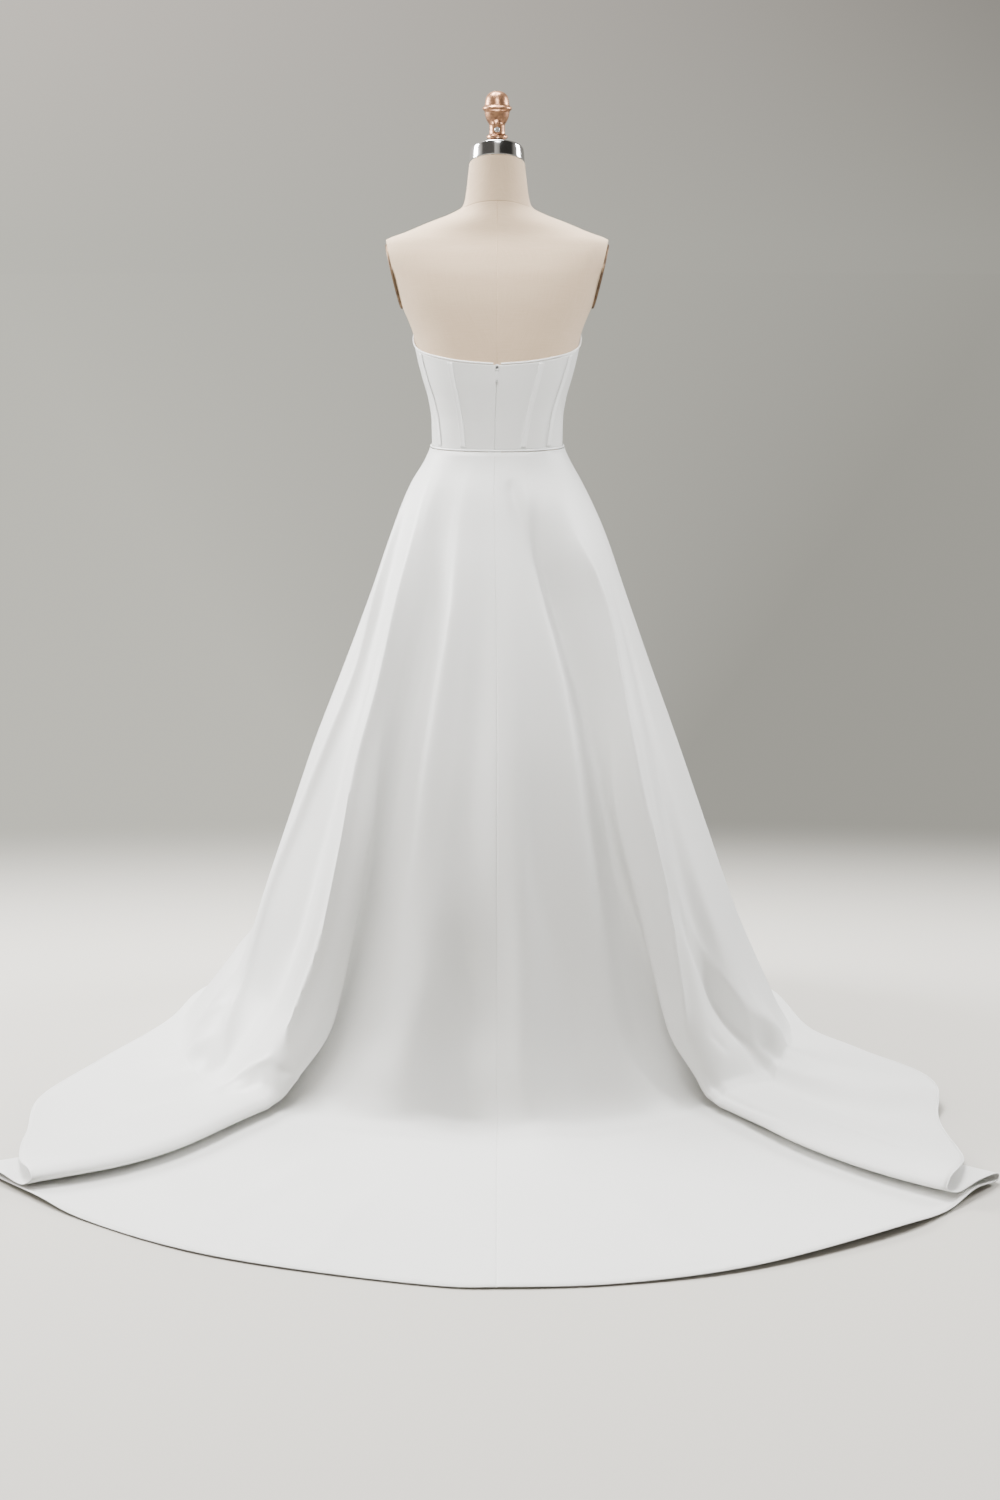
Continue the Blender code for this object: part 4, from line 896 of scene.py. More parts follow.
@dataclass
class SkirtShape:
    """The skirt's middle surface, from the same tables as its solids."""

    floor: float = 0.0020
    train_start: float = 1.25
    train_end: float = 1.66
    front_train: float = 0.022
    squareness: float = 2.2
    row_step: float = 0.0085
    hem_gap: float = 0.0012
    fine: int = 5
    ways: Array = field(init=False)
    base: list = field(init=False)
    waves: tuple = HEM_WAVES

    def __post_init__(self) -> None:
        """Works out the rows and the curves of the base sections."""
        count = round(self.train_end / self.row_step)
        self.ways = np.linspace(0.0, self.train_end, count + 1)
        self.base = [Curve(column(SKIRT_ROWS, 0), column(SKIRT_ROWS, i)) for i in range(1, 7)]

    def points(self, azimuth: Array, hem: float, rise: Array, ways: Array | None = None) -> Array:
        """Points of the middle surface, one for each row.

        Args:
            azimuth: degrees, one number or one for each row.
            hem: the radius of the hem there.
            rise: how far the cloth stands off the base form.
            ways: ways down the cloth, every row's if not given.

        Returns:
            The points.
        """
        ways = self.ways if ways is None else ways
        held = np.minimum(ways, self.train_start)
        height, left, right, behind, before, lean = (curve(held) for curve in self.base)
        wide = np.where(np.sin(np.radians(azimuth)) > 0, left, right)
        contact = oval(azimuth, wide, behind, before, self.squareness)
        share = np.clip((ways - self.train_start) / (self.train_end - self.train_start), 0.0, 1.0)
        radius = contact + share * (hem - contact)
        tilt = np.radians(lean)
        radius = radius + rise * np.cos(tilt)
        height = height + rise * np.sin(tilt)
        return polar(radius, azimuth, np.maximum(height, self.floor))

    def hem_lift(self, azimuth: Array) -> Array:
        """Extra rise of the hem's waves in every row."""
        turn = (np.asarray(azimuth) + 180.0) % 360.0 - 180.0
        start = 1.50
        near = np.clip((self.ways - start) / (self.train_end - start), 0.0, 1.0)
        total = np.full(len(self.ways), self.hem_gap)
        for centre, half, lift in self.waves:
            total = total + 0.01 * lift * np.exp(-(((turn - centre) / half) ** 2))
        return total * near * near

    def level(self, values: tuple) -> Array:
        """A fold table's value in every row."""
        return Curve(LEVELS, values)(self.ways)

    def pleat(self, side: int) -> list[tuple[Array, int]]:
        """The lines across one deep pleat, centre back outwards.

        Args:
            side: 1 for the wearer's left, -1 for the right.

        Returns:
            Each line's points and its columns.
        """
        nose = self.level(LEFT_NOSE if side > 0 else RIGHT_NOSE)
        inner = self.level(LEFT_IN if side > 0 else RIGHT_IN)
        outer = self.level(LEFT_OUT if side > 0 else RIGHT_OUT)
        lines = PLEAT_LINES + (LEFT_BEYOND if side > 0 else RIGHT_BEYOND)
        hems = LEFT_HEMS if side > 0 else RIGHT_HEMS
        reach = self.points(nose, hems[0], 0.0)
        radius = np.hypot(reach[:, 0], reach[:, 1])
        made = []
        for (_, along, rise, columns), hem in zip(lines, hems):
            shift = 0.01 * self.level(along)
            shift = shift * np.where(shift < 0, inner, outer)
            azimuth = nose + side * np.degrees(shift / radius)
            up = 0.01 * self.level(rise) + self.hem_lift(azimuth)
            made.append((self.points(azimuth, hem, up), columns))
        return made

    def open_lines(self, table: tuple) -> list[tuple[Array, int]]:
        """The lines of a table of open lines."""
        made = []
        for _, azimuths, rises, hem, columns in table:
            azimuth = self.level(azimuths)
            up = 0.01 * self.level(rises) + self.hem_lift(azimuth)
            made.append((self.points(azimuth, hem, up), columns))
        return made

    def front_hem(self, azimuth: float) -> float:
        """Radius of the front's hem at an azimuth."""
        contact = self.points(np.array([azimuth]), 0.0, 0.0, np.array([self.train_start]))[0]
        return math.hypot(contact[0], contact[1]) + self.front_train

    def front_lines(self, side: int) -> list[tuple[Array, int]]:
        """The front's flutes, from the side seam towards the centre front."""
        growth = self.level(FLUTE_GROWTH)
        made = []
        for azimuth, rise in FLUTES:
            up = 0.01 * rise * growth
            made.append((self.points(side * azimuth, self.front_hem(side * azimuth), up), 2))
        return made

    def ring(self) -> tuple[Array, dict[str, int]]:
        """Every row of the skirt, closed round.

        Returns:
            Rows of columns of points, and the column of each seam.
        """
        middle = self.points(180.0, self.front_hem(180.0), 0.007 * self.level(FLUTE_GROWTH))
        left = self.open_lines(LEFT_CENTRE) + self.pleat(1) + self.open_lines(LEFT_SIDE)
        right = self.open_lines(RIGHT_CENTRE) + self.pleat(-1) + self.open_lines(RIGHT_SIDE)
        controls = self.open_lines((CENTRE,)) + left
        left_seam = len(controls)
        controls.append((self.points(self.level(SEAM_AZIMUTH), SEAM_HEMS[0], 0.0), 2))
        controls += self.front_lines(1) + [(middle, 2)] + list(reversed(self.front_lines(-1)))
        right_seam = len(controls)
        back = list(reversed(right))
        counts = [entry[1] for entry in back]
        controls.append((self.points(-self.level(SEAM_AZIMUTH), SEAM_HEMS[1], 0.0), counts[0]))
        for i, (line, _) in enumerate(back):
            controls.append((line, counts[i + 1] if i + 1 < len(back) else 2))
        total = len(controls)
        spans = []
        marks = {}
        done = 0
        for i in range(total):
            if i in (0, left_seam, right_seam):
                marks[("centre", "left", "right")[(0, left_seam, right_seam).index(i)]] = done
            near = [controls[(i + k) % total][0] for k in (-1, 0, 1, 2)]
            steps = controls[i][1] * self.fine
            spans.append(spline(*near, np.arange(steps) / steps))
            done += steps
        grid = np.concatenate(spans, axis=1)
        grid[..., 2] = np.maximum(grid[..., 2], self.floor)
        return grid, marks


@dataclass(frozen=True)
class Crease:
    """A crease in the cloth: a trough or a ridge along a line on its outer layer."""

    name: str
    line: tuple
    half_width: float
    rise: float
    fall: Fall = Fall.SOFT
    ends: tuple = (0.25, 0.25)

    def press(self, grid: Array, outward: Array) -> Array:
        """Works out how far the crease moves each point.

        Args:
            grid: the cloth's points.
            outward: the directions in which they move, the same for all layers of a fold.

        Returns:
            The rise of each point, in metres.
        """
        spots = np.array([self.find(grid, azimuth, way) for azimuth, way in self.line])
        t = np.linspace(0.0, 1.0, 48)
        knots = np.linspace(0.0, 1.0, len(spots))
        path = np.stack([Curve(knots, spots[:, i])(t) for i in range(3)], axis=-1)
        reach = 3.2 * self.half_width
        low = path.min(axis=0) - reach
        high = path.max(axis=0) + reach
        inside = np.all((grid > low - 0.04) & (grid < high + 0.04), axis=-1)
        rise = np.zeros(grid.shape[:2])
        near = grid[inside]
        if not len(near):
            return rise
        step = np.diff(path, axis=0)
        away = near[:, None, :] - path[None, :-1, :]
        share = np.clip(np.sum(away * step, axis=-1) / np.sum(step * step, axis=-1), 0.0, 1.0)
        away = away - share[..., None] * step
        deep = np.sum(away * outward[inside][:, None, :], axis=-1)
        gaps = np.sqrt(np.maximum(np.sum(away * away, axis=-1) - 0.96 * deep * deep, 0.0))
        best = gaps.argmin(axis=1)
        each = np.arange(len(near))
        off = gaps[each, best] / self.half_width
        along = t[best] + share[each, best] * (t[1] - t[0])
        start = np.clip(along / max(self.ends[0], 1e-3), 0.0, 1.0)
        stop = np.clip((1.0 - along) / max(self.ends[1], 1e-3), 0.0, 1.0)
        strength = start * start * (3 - 2 * start) * stop * stop * (3 - 2 * stop)
        crest = np.sqrt(off * off + 0.16) - 0.4
        shape = np.exp(-off * off) if self.fall is Fall.SOFT else np.exp(-1.7 * crest)
        rise[inside] = self.rise * strength * shape
        return rise

    @staticmethod
    def find(grid: Array, azimuth: float, way: float) -> Array:
        """The outermost point of the cloth at an azimuth and a way down."""
        rows = grid.shape[0]
        row = int(round(way / 1.66 * (rows - 1)))
        line = grid[min(max(row, 0), rows - 1)]
        turns = np.degrees(np.arctan2(line[:, 0], line[:, 1]))
        off = np.abs((turns - azimuth + 180.0) % 360.0 - 180.0)
        outward = np.hypot(line[:, 0], line[:, 1]) + 2.0 * line[:, 2]
        best = int(np.argmax(np.where(off < off.min() + 0.8, outward, -np.inf)))
        for step in (1, -1):
            while off[(best + step) % len(line)] < off[best]:
                best = (best + step) % len(line)
        return line[best]


# The creases of the cloth, placed by azimuth and way down the cloth: name, line, half width,
# rise and how they fall off.
CREASES = (
    Crease("left_outer_ridge", ((75.7, 0.07), (70.5, 0.16), (67.0, 0.26), (63.0, 0.42), (64.0, 0.57), (66.0, 0.71),
                                (67.3, 0.82), (66.8, 0.96), (63.3, 1.07), (55.5, 1.24)),
           0.0120, 0.0080, Fall.SHARP, (0.12, 0.12)),
    Crease("left_inner_ridge", ((55.0, 0.07), (47.0, 0.24), (42.8, 0.42), (40.8, 0.56), (39.3, 0.67), (38.7, 0.76),
                                (38.6, 0.85), (39.4, 0.92), (40.5, 0.98), (41.5, 1.05), (41.3, 1.10)),
           0.0110, 0.0115, Fall.SHARP, (0.14, 0.10)),
    Crease("left_between", ((60.0, 0.24), (52.5, 0.55), (52.0, 0.82), (52.5, 1.04)), 0.0300, -0.0150, Fall.SOFT),
    Crease("left_tip_ridge", ((53.8, 1.27), (50.3, 1.19), (46.0, 1.14), (42.3, 1.11)),
           0.0100, 0.0075, Fall.SHARP, (0.15, 0.4)),
    Crease("left_tip_trough", ((51.5, 1.285), (47.7, 1.25), (44.0, 1.17)), 0.0130, -0.0085, Fall.SOFT, (0.2, 0.4)),
    Crease("left_small_trough", ((42.0, 1.15), (39.6, 1.12)), 0.0090, -0.0050, Fall.SOFT, (0.4, 0.2)),
    Crease("left_drag_first", ((64.0, 1.04), (70.5, 1.10), (80.0, 1.17)), 0.0130, 0.0050, Fall.SOFT, (0.4, 0.5)),
    Crease("left_drag_second", ((62.1, 1.11), (68.0, 1.20), (71.0, 1.33), (69.5, 1.47)),
           0.0140, 0.0050, Fall.SOFT, (0.3, 0.6)),
    Crease("left_drag_third", ((61.0, 1.15), (65.5, 1.27), (64.0, 1.46)), 0.0150, -0.0045, Fall.SOFT, (0.3, 0.6)),
    Crease("left_drag_fourth", ((51.0, 1.31), (53.0, 1.41), (52.5, 1.56)), 0.0160, 0.0035, Fall.SOFT, (0.4, 0.5)),
    Crease("left_valley", ((31.7, 0.12), (33.5, 0.30), (31.0, 0.50), (29.5, 0.64), (28.5, 0.78)),
           0.0280, -0.0035, Fall.SOFT, (0.4, 0.5)),
    Crease("middle_valley", ((19.0, 0.18), (15.5, 0.37), (14.0, 0.54), (13.0, 0.76), (10.0, 0.93)),
           0.0560, -0.0150, Fall.SOFT, (0.5, 0.4)),
    Crease("pocket_side", ((14.5, 0.84), (13.0, 0.95), (11.5, 1.04)), 0.0260, 0.0090, Fall.SOFT, (0.5, 0.5)),
    Crease("pocket", ((8.0, 0.80), (6.0, 0.92), (3.6, 1.01), (1.0, 1.08)), 0.0340, -0.0220, Fall.SOFT, (0.5, 0.5)),
    Crease("pocket_border", ((3.0, 0.92), (-0.5, 1.01), (-3.6, 1.09), (-6.6, 1.16), (-9.7, 1.25)),
           0.0190, 0.0075, Fall.SHARP, (0.5, 0.5)),
    Crease("right_hip", ((-24.0, 0.03), (-36.0, 0.09), (-44.0, 0.18), (-48.0, 0.30), (-47.0, 0.44)),
           0.0340, 0.0090, Fall.SOFT, (0.3, 0.5)),
    Crease("right_border", ((-9.5, 0.045), (-14.0, 0.10), (-19.5, 0.17), (-25.0, 0.25)),
           0.0160, -0.0065, Fall.SOFT, (0.15, 0.7)),
    Crease("right_trough", ((-16.0, 0.08), (-23.5, 0.16), (-30.5, 0.26), (-35.0, 0.38), (-36.7, 0.52), (-36.3, 0.66),
                            (-35.0, 0.80), (-36.5, 0.95)), 0.0290, -0.0220, Fall.SOFT, (0.35, 0.3)),
    Crease("right_ridge", ((-43.3, 0.14), (-46.5, 0.21), (-48.0, 0.29), (-46.0, 0.40), (-42.6, 0.53), (-40.9, 0.64),
                           (-40.0, 0.76), (-38.4, 0.95), (-38.2, 1.07)), 0.0105, 0.0110, Fall.SHARP, (0.15, 0.1)),
    Crease("right_valley_first", ((-41.0, 0.68), (-43.6, 0.85), (-49.3, 0.98), (-56.5, 1.11), (-60.0, 1.25)),
           0.0170, -0.0070, Fall.SOFT, (0.35, 0.4)),
    Crease("right_mid_ridge", ((-43.0, 0.78), (-50.5, 0.90), (-55.3, 1.02), (-61.0, 1.18), (-58.5, 1.36), (-58.0, 1.52)),
           0.0140, 0.0060, Fall.SHARP, (0.35, 0.45)),
    Crease("right_valley_second", ((-54.5, 0.90), (-58.8, 1.05), (-63.4, 1.22), (-60.5, 1.38), (-60.0, 1.50),
                                   (-61.5, 1.60)), 0.0190, -0.0090, Fall.SOFT, (0.4, 0.35)),
    Crease("right_roll", ((-40.8, 1.12), (-41.8, 1.22), (-41.5, 1.31), (-41.2, 1.40), (-41.8, 1.55)),
           0.0080, -0.0045, Fall.SOFT, (0.2, 0.4)),
    Crease("right_faint_first", ((-41.9, 1.05), (-48.0, 1.13)), 0.0110, -0.0035, Fall.SOFT, (0.4, 0.4)),
    Crease("right_train_first", ((-46.0, 1.30), (-47.0, 1.44), (-46.0, 1.58)), 0.0160, -0.0028, Fall.SOFT, (0.4, 0.3)),
    Crease("right_train_second", ((-52.0, 1.30), (-53.5, 1.45), (-53.0, 1.60)), 0.0130, 0.0026, Fall.SOFT, (0.4, 0.3)),
    Crease("train_dimple", ((-27.0, 1.628), (-27.8, 1.645)), 0.0060, -0.0030, Fall.SOFT, (0.4, 0.4)),
    Crease("train_left_first", ((24.0, 1.32), (27.0, 1.60)), 0.0300, 0.0030, Fall.SOFT, (0.4, 0.1)),
    Crease("train_left_second", ((14.0, 1.36), (15.5, 1.64)), 0.0240, 0.0024, Fall.SOFT, (0.4, 0.05)),
    Crease("train_right_first", ((-14.0, 1.34), (-16.0, 1.64)), 0.0280, 0.0026, Fall.SOFT, (0.4, 0.05)),
    Crease("front_left_first", ((104.0, 0.10), (108.0, 0.40), (107.0, 0.80), (106.0, 1.18)),
           0.0140, 0.0050, Fall.SHARP, (0.25, 0.10)),
    Crease("front_left_second", ((122.0, 0.20), (117.0, 0.60), (119.0, 1.05)), 0.0200, -0.0060, Fall.SOFT),
    Crease("front_left_third", ((133.0, 0.12), (131.0, 0.55), (129.0, 1.22)), 0.0170, 0.0060, Fall.SHARP, (0.3, 0.1)),
    Crease("front_left_fourth", ((150.0, 0.34), (144.0, 0.70), (146.0, 1.10)), 0.0240, -0.0075, Fall.SOFT),
    Crease("front_middle", ((172.0, 0.25), (166.0, 0.60), (161.0, 0.95)), 0.0200, 0.0040, Fall.SHARP, (0.4, 0.4)),
    Crease("front_right_first", ((-108.0, 0.14), (-106.0, 0.50), (-107.0, 1.15)),
           0.0150, 0.0045, Fall.SHARP, (0.3, 0.12)),
    Crease("front_right_second", ((-126.0, 0.10), (-119.0, 0.50), (-118.0, 0.98)), 0.0210, -0.0065, Fall.SOFT),
    Crease("front_right_third", ((-136.0, 0.28), (-131.0, 0.75), (-130.0, 1.20)), 0.0150, 0.0055, Fall.SHARP, (0.4, 0.1)),
    Crease("front_right_fourth", ((-152.0, 0.16), (-147.0, 0.62), (-143.0, 1.14)), 0.0230, -0.0070, Fall.SOFT),
)


@dataclass
class Skirt:
    """The three skirt panels with their rolled hems."""

    thickness: float = 0.0012
    hem_radius: float = 0.0010
    hem_stitch: float = 0.0045
    zip_end: float = 0.135
    zip_gape: float = 0.0006
    waist_flare: float = 0.0032
    thread_radius: float = 0.00022
    shape: SkirtShape = field(default_factory=SkirtShape)

    # A seam edge: distance from the seam, and drop below the surface.
    TURN = ((0.0002, 0.0012), (0.0006, 0.0006), (0.0014, 0.0002), (0.0026, 0.0))

    def surface(self) -> tuple[Array, Array, dict[str, int]]:
        """The cloth with its creases, closed round."""
        grid, marks = self.shape.ring()
        tilt = np.radians(self.shape.base[5](np.minimum(self.shape.ways, self.shape.train_start)))[:, None]
        level = unit(grid * (1.0, 1.0, 0.0))
        outward = level * np.cos(tilt)[..., None] + np.array((0.0, 0.0, 1.0)) * np.sin(tilt)[..., None]
        moved = np.zeros(grid.shape[:2]) + (self.waist_flare * np.exp(-self.shape.ways / 0.012))[:, None]
        for crease in CREASES:
            moved += crease.press(grid, outward)
        grid = grid + outward * moved[..., None]
        grid[..., 2] = np.maximum(grid[..., 2], self.shape.floor)
        return grid, outward, marks

    def cut(self, grid: Array, normals: Array, start: int, end: int) -> Array:
        """The columns of one panel, its seam edges drawn in and turned under.

        Args:
            grid: the whole cloth.
            normals: its outward directions.
            start: the panel's first column.
            end: its last column.

        Returns:
            The panel's points.
        """
        count = grid.shape[1]
        span = (end - start) % count
        columns = [(start + i) % count for i in range(span + 1)]
        part = grid[:, columns].copy()
        out = normals[:, columns]
        gape = np.where(self.shape.ways <= self.zip_end, self.zip_gape, 0.0)[:, None]
        first = turned_edge(part[:, 0], part[:, 1], out[:, 0], self.TURN, gape * (columns[0] == 0))
        last = turned_edge(part[:, -1], part[:, -2], out[:, -1], self.TURN, gape * (columns[-1] == 0))
        return np.concatenate((first, part[:, 1:-1], last[:, ::-1]), axis=1)

    def build(self, finishes: Finishes) -> tuple[Array, Array]:
        """Makes the panels and their hems.

        Args:
            finishes: the part's finishes.

        Returns:
            The centre back seam's points and outward directions, from the waist down.
        """
        grid, normals, marks = self.surface()
        plan = (
            ("skirt_back_left", "centre", "left", (1.95, 1.78)),
            ("skirt_front", "left", "right", (1.75, 1.32)),
            ("skirt_back_right", "right", "centre", (1.95, 1.78)),
        )
        for name, first, last, flat in plan:
            part = self.cut(grid, normals, marks[first], marks[last])
            panel = settle(cloth_panel(name + "_cloth", part, self.thickness), finishes.satin, "satin", name)
            hem = closed_grid(name + "_hem_roll", tube(part[-1], self.hem_radius, 8))
            settle(hem, finishes.painted_highlight_trim, "satin_trim")
            out = grid_normals(part)[-2]
            out = out if out[:, 2].sum() > 0.0 else -out
            row = thread_row(part[-2] + out * 0.5 * self.thickness, out, self.hem_stitch, self.thread_radius)
            settle(closed_grid(name + "_hem_stitches", row), finishes.thread, "satin_trim")
            area = self.cloth_area(part)
            LOG.info("%s: area %.3f m2", name, area)
        return grid[:, marks["centre"]], normals[:, marks["centre"]]

    @staticmethod
    def cloth_area(points: Array) -> float:
        """Area of a grid of points, in square metres."""
        a = points[1:, :-1] - points[:-1, :-1]
        b = points[:-1, 1:] - points[:-1, :-1]
        return round(float(np.linalg.norm(np.cross(a, b), axis=-1).sum()), 3)


@dataclass
class FormShape:
    """The torso's surface, from the same sections as its solid."""

    neck_tilt: float = 18.0
    sizes: list = field(init=False)
    tilt: Curve = field(init=False)

    def __post_init__(self) -> None:
        """Works out the curves of the sections."""
        self.sizes = [Curve(column(FORM_ROWS, 0), column(FORM_ROWS, i)) for i in (1, 2, 3, 4)]
        slope = math.tan(math.radians(self.neck_tilt))
        self.tilt = Curve((1.508, 1.520, 1.545, 1.570, 1.591), (0.0, 0.0, slope / 3, slope * 2 / 3, slope))

    def radius(self, height: Array, azimuth: Array) -> Array:
        """Radius of the torso below its neck."""
        return oval(azimuth, *(curve(height) for curve in self.sizes))

    def point(self, height: Array, azimuth: Array) -> Array:
        """A point of the whole torso, its slanting neck too."""
        level = np.asarray(height, float) + 0.0 * azimuth
        for _ in range(6):
            y = self.radius(level, azimuth) * np.cos(np.radians(azimuth))
            level = height - y * self.tilt(level)
        return polar(self.radius(level, azimuth), azimuth, height)

    def skin(self, height: Array, azimuth: Array, out: Array) -> Array:
        """Points that lie a true distance outside the torso, moved out level.

        Args:
            height: heights.
            azimuth: azimuths in degrees.
            out: the distance outside.

        Returns:
            The points.
        """
        here = polar(self.radius(height, azimuth), azimuth, height)
        around = polar(self.radius(height, azimuth + 0.5), azimuth + 0.5, height)
        around = around - polar(self.radius(height, azimuth - 0.5), azimuth - 0.5, height)
        upward = polar(self.radius(height + 0.002, azimuth), azimuth, height + 0.002)
        upward = upward - polar(self.radius(height - 0.002, azimuth), azimuth, height - 0.002)
        normal = unit(np.cross(upward, around))
        inward = np.sum(normal[..., :2] * here[..., :2], axis=-1, keepdims=True) < 0.0
        normal = np.where(inward, -normal, normal)
        level = unit(normal * (1.0, 1.0, 0.0))
        share = np.maximum(np.sum(level * normal, axis=-1, keepdims=True), 0.5)
        return here + level * (np.asarray(out)[..., None] / share)


TOP_CURVE = Curve(column(TOP_EDGE, 0), column(TOP_EDGE, 1))


def top_edge(azimuth: Array) -> Array:
    """Height of the bodice's top edge."""
    turn = np.abs((np.asarray(azimuth) + 180.0) % 360.0 - 180.0)
    return TOP_CURVE(turn)


@dataclass
class Bodice:
    """The nine bodice panels, their casings with stitches, and the two pipings."""

    form: FormShape
    gap: float = 0.0010
    thickness: float = 0.0014
    solid_thickness: float = 0.0016
    seam_gap: float = 0.0004
    edge_gap: float = 0.0007
    waist: float = 1.1020
    piping: float = 0.0016
    piping_start: float = 3.6
    casing_thick: float = 0.0009
    casing_lift: float = 0.0012
    column_step: float = 0.0035
    rows: int = 48
    stitch: float = 0.0034
    thread_radius: float = 0.00018
    stitch_offset: float = 2.3
    zip_gape: float = 0.0006
    turn: tuple = ((0.0000, 0.0009), (0.0005, 0.0004), (0.0013, 0.0001), (0.0024, 0.0))

    # A casing's section: offset from its middle and height over its ground, in millimetres.
    SECTION = (
        (-4.25, -0.45), (-4.10, 0.10), (-3.75, 0.42), (-3.30, 0.40), (-2.80, 0.10), (-2.30, -0.12),
        (-1.50, -0.10), (0.0, 0.0),
    )

    def heights(self, azimuth: Array, share: Array) -> Array:
        """Heights between the waist and the top edge."""
        low = self.waist + 0.5 * self.seam_gap
        high = top_edge(azimuth) - self.piping - self.edge_gap
        return low + (high - low) * share

    def panel(self, index: int) -> Array:
        """The points of one panel, from the top edge down."""
        a, b = SEAMS[index], SEAMS[index + 1]
        width = math.radians(b[1] - a[1]) * 0.13
        across = np.linspace(0.0, 1.0, max(round(width / self.column_step), 8) + 1)[None, :]
        share = np.linspace(1.0, 0.0, self.rows + 1)[:, None]
        top = a[1] + (b[1] - a[1]) * across
        height = self.heights(top, share)
        first = a[2] + (a[1] - a[2]) * share
        last = b[2] + (b[1] - b[2]) * share
        azimuth = first + (last - first) * across
        out = np.full(height.shape, self.gap + 0.5 * self.solid_thickness)
        points = self.form.skin(height, azimuth, out)
        half = 0.5 * self.seam_gap
        gapes = (half + self.zip_gape * (index == 0), half + self.zip_gape * (index == len(BODICE_PANELS) - 1))
        points[:, 0] += unit(points[:, 1] - points[:, 0]) * gapes[0]
        points[:, -1] += unit(points[:, -2] - points[:, -1]) * gapes[1]
        level = unit(points * (1.0, 1.0, 0.0))
        start = turned_edge(points[:, 0], points[:, 1], level[:, 0], self.turn)
        end = turned_edge(points[:, -1], points[:, -2], level[:, -1], self.turn)
        return np.concatenate((start, points[:, 1:-1], end[:, ::-1]), axis=1)

    def casing(self, seam: tuple) -> Array:
        """The points of one boning casing, from the top edge down."""
        share = np.linspace(0.985, 0.030, self.rows + 1)
        height = self.heights(seam[1], share)
        azimuth = seam[2] + (seam[1] - seam[2]) * share
        radius = self.form.radius(height, azimuth)
        half = list(self.SECTION)
        section = half + [(-x, y) for x, y in reversed(half[:-1])]
        ground = self.gap + self.solid_thickness + self.casing_lift
        lines = []
        for offset, rise in section:
            turn = azimuth + np.degrees(0.001 * offset / radius)
            lines.append(self.form.skin(height, turn, np.full(len(height), ground + 0.001 * rise)))
        return np.stack(lines, axis=1)

    def stitch_rows(self, seam: tuple) -> list[Array]:
        """The two rows of stitches of one casing."""
        share = np.linspace(0.980, 0.035, 3 * self.rows)
        height = self.heights(seam[1], share)
        azimuth = seam[2] + (seam[1] - seam[2]) * share
        radius = self.form.radius(height, azimuth)
        face = self.gap + self.solid_thickness + self.casing_lift + 0.5 * self.casing_thick - 0.00018
        rows = []
        for side in (-1.0, 1.0):
            turn = azimuth + np.degrees(side * 0.001 * self.stitch_offset / radius)
            line = self.form.skin(height, turn, np.full(len(height), face))
            out = unit(self.form.skin(height, turn, np.full(len(height), face + 0.001)) - line)
            rows.append(thread_row(line, out, self.stitch, self.thread_radius))
        return rows

    def pipings(self) -> tuple[Array, Array]:
        """The paths of the top piping and of the waist piping."""
        azimuth = np.linspace(self.piping_start, 360.0 - self.piping_start, 241)
        out = np.full(len(azimuth), self.gap + self.piping)
        top = self.form.skin(top_edge(azimuth), azimuth, out)
        turns = np.linspace(0.0, 360.0, 220, endpoint=False)
        far = np.full(len(turns), self.gap + self.solid_thickness + self.seam_gap + self.piping)
        low = self.form.skin(np.full(len(turns), self.waist), turns, far)
        return top, low

    def build(self, finishes: Finishes) -> None:
        """Makes the panels, casings, stitches and pipings.

        Args:
            finishes: the part's finishes.
        """
        for seam in SEAMS[1:-1]:
            name = "casing_" + seam[0]
            item = cloth_panel(name + "_tape", self.casing(seam), self.casing_thick)
            settle(item, finishes.painted_highlight_trim, "satin_trim", name)
            rows = closed_grid(name + "_stitches", self.stitch_rows(seam))
            settle(rows, finishes.thread, "satin_trim")
        top, low = self.pipings()
        top_item = closed_grid("piping_top_cord", tube(top, self.piping, 14))
        low_item = closed_grid("piping_waist_cord", tube(low, self.piping, 14, closed=True))
        settle(top_item, finishes.painted_highlight_trim, "satin_trim", "piping_top")
        settle(low_item, finishes.painted_highlight_trim, "satin_trim", "piping_waist")
        for index, name in enumerate(BODICE_PANELS):
            points = self.panel(index)
            item = settle(cloth_panel(name + "_cloth", points, self.thickness), finishes.satin, "satin", name)
            wide = float(np.linalg.norm(np.diff(points, axis=1), axis=-1).sum(axis=1).max())
            tall = float(np.linalg.norm(np.diff(points, axis=0), axis=-1).sum(axis=0).max())
            Skirt.cloth_area(points)


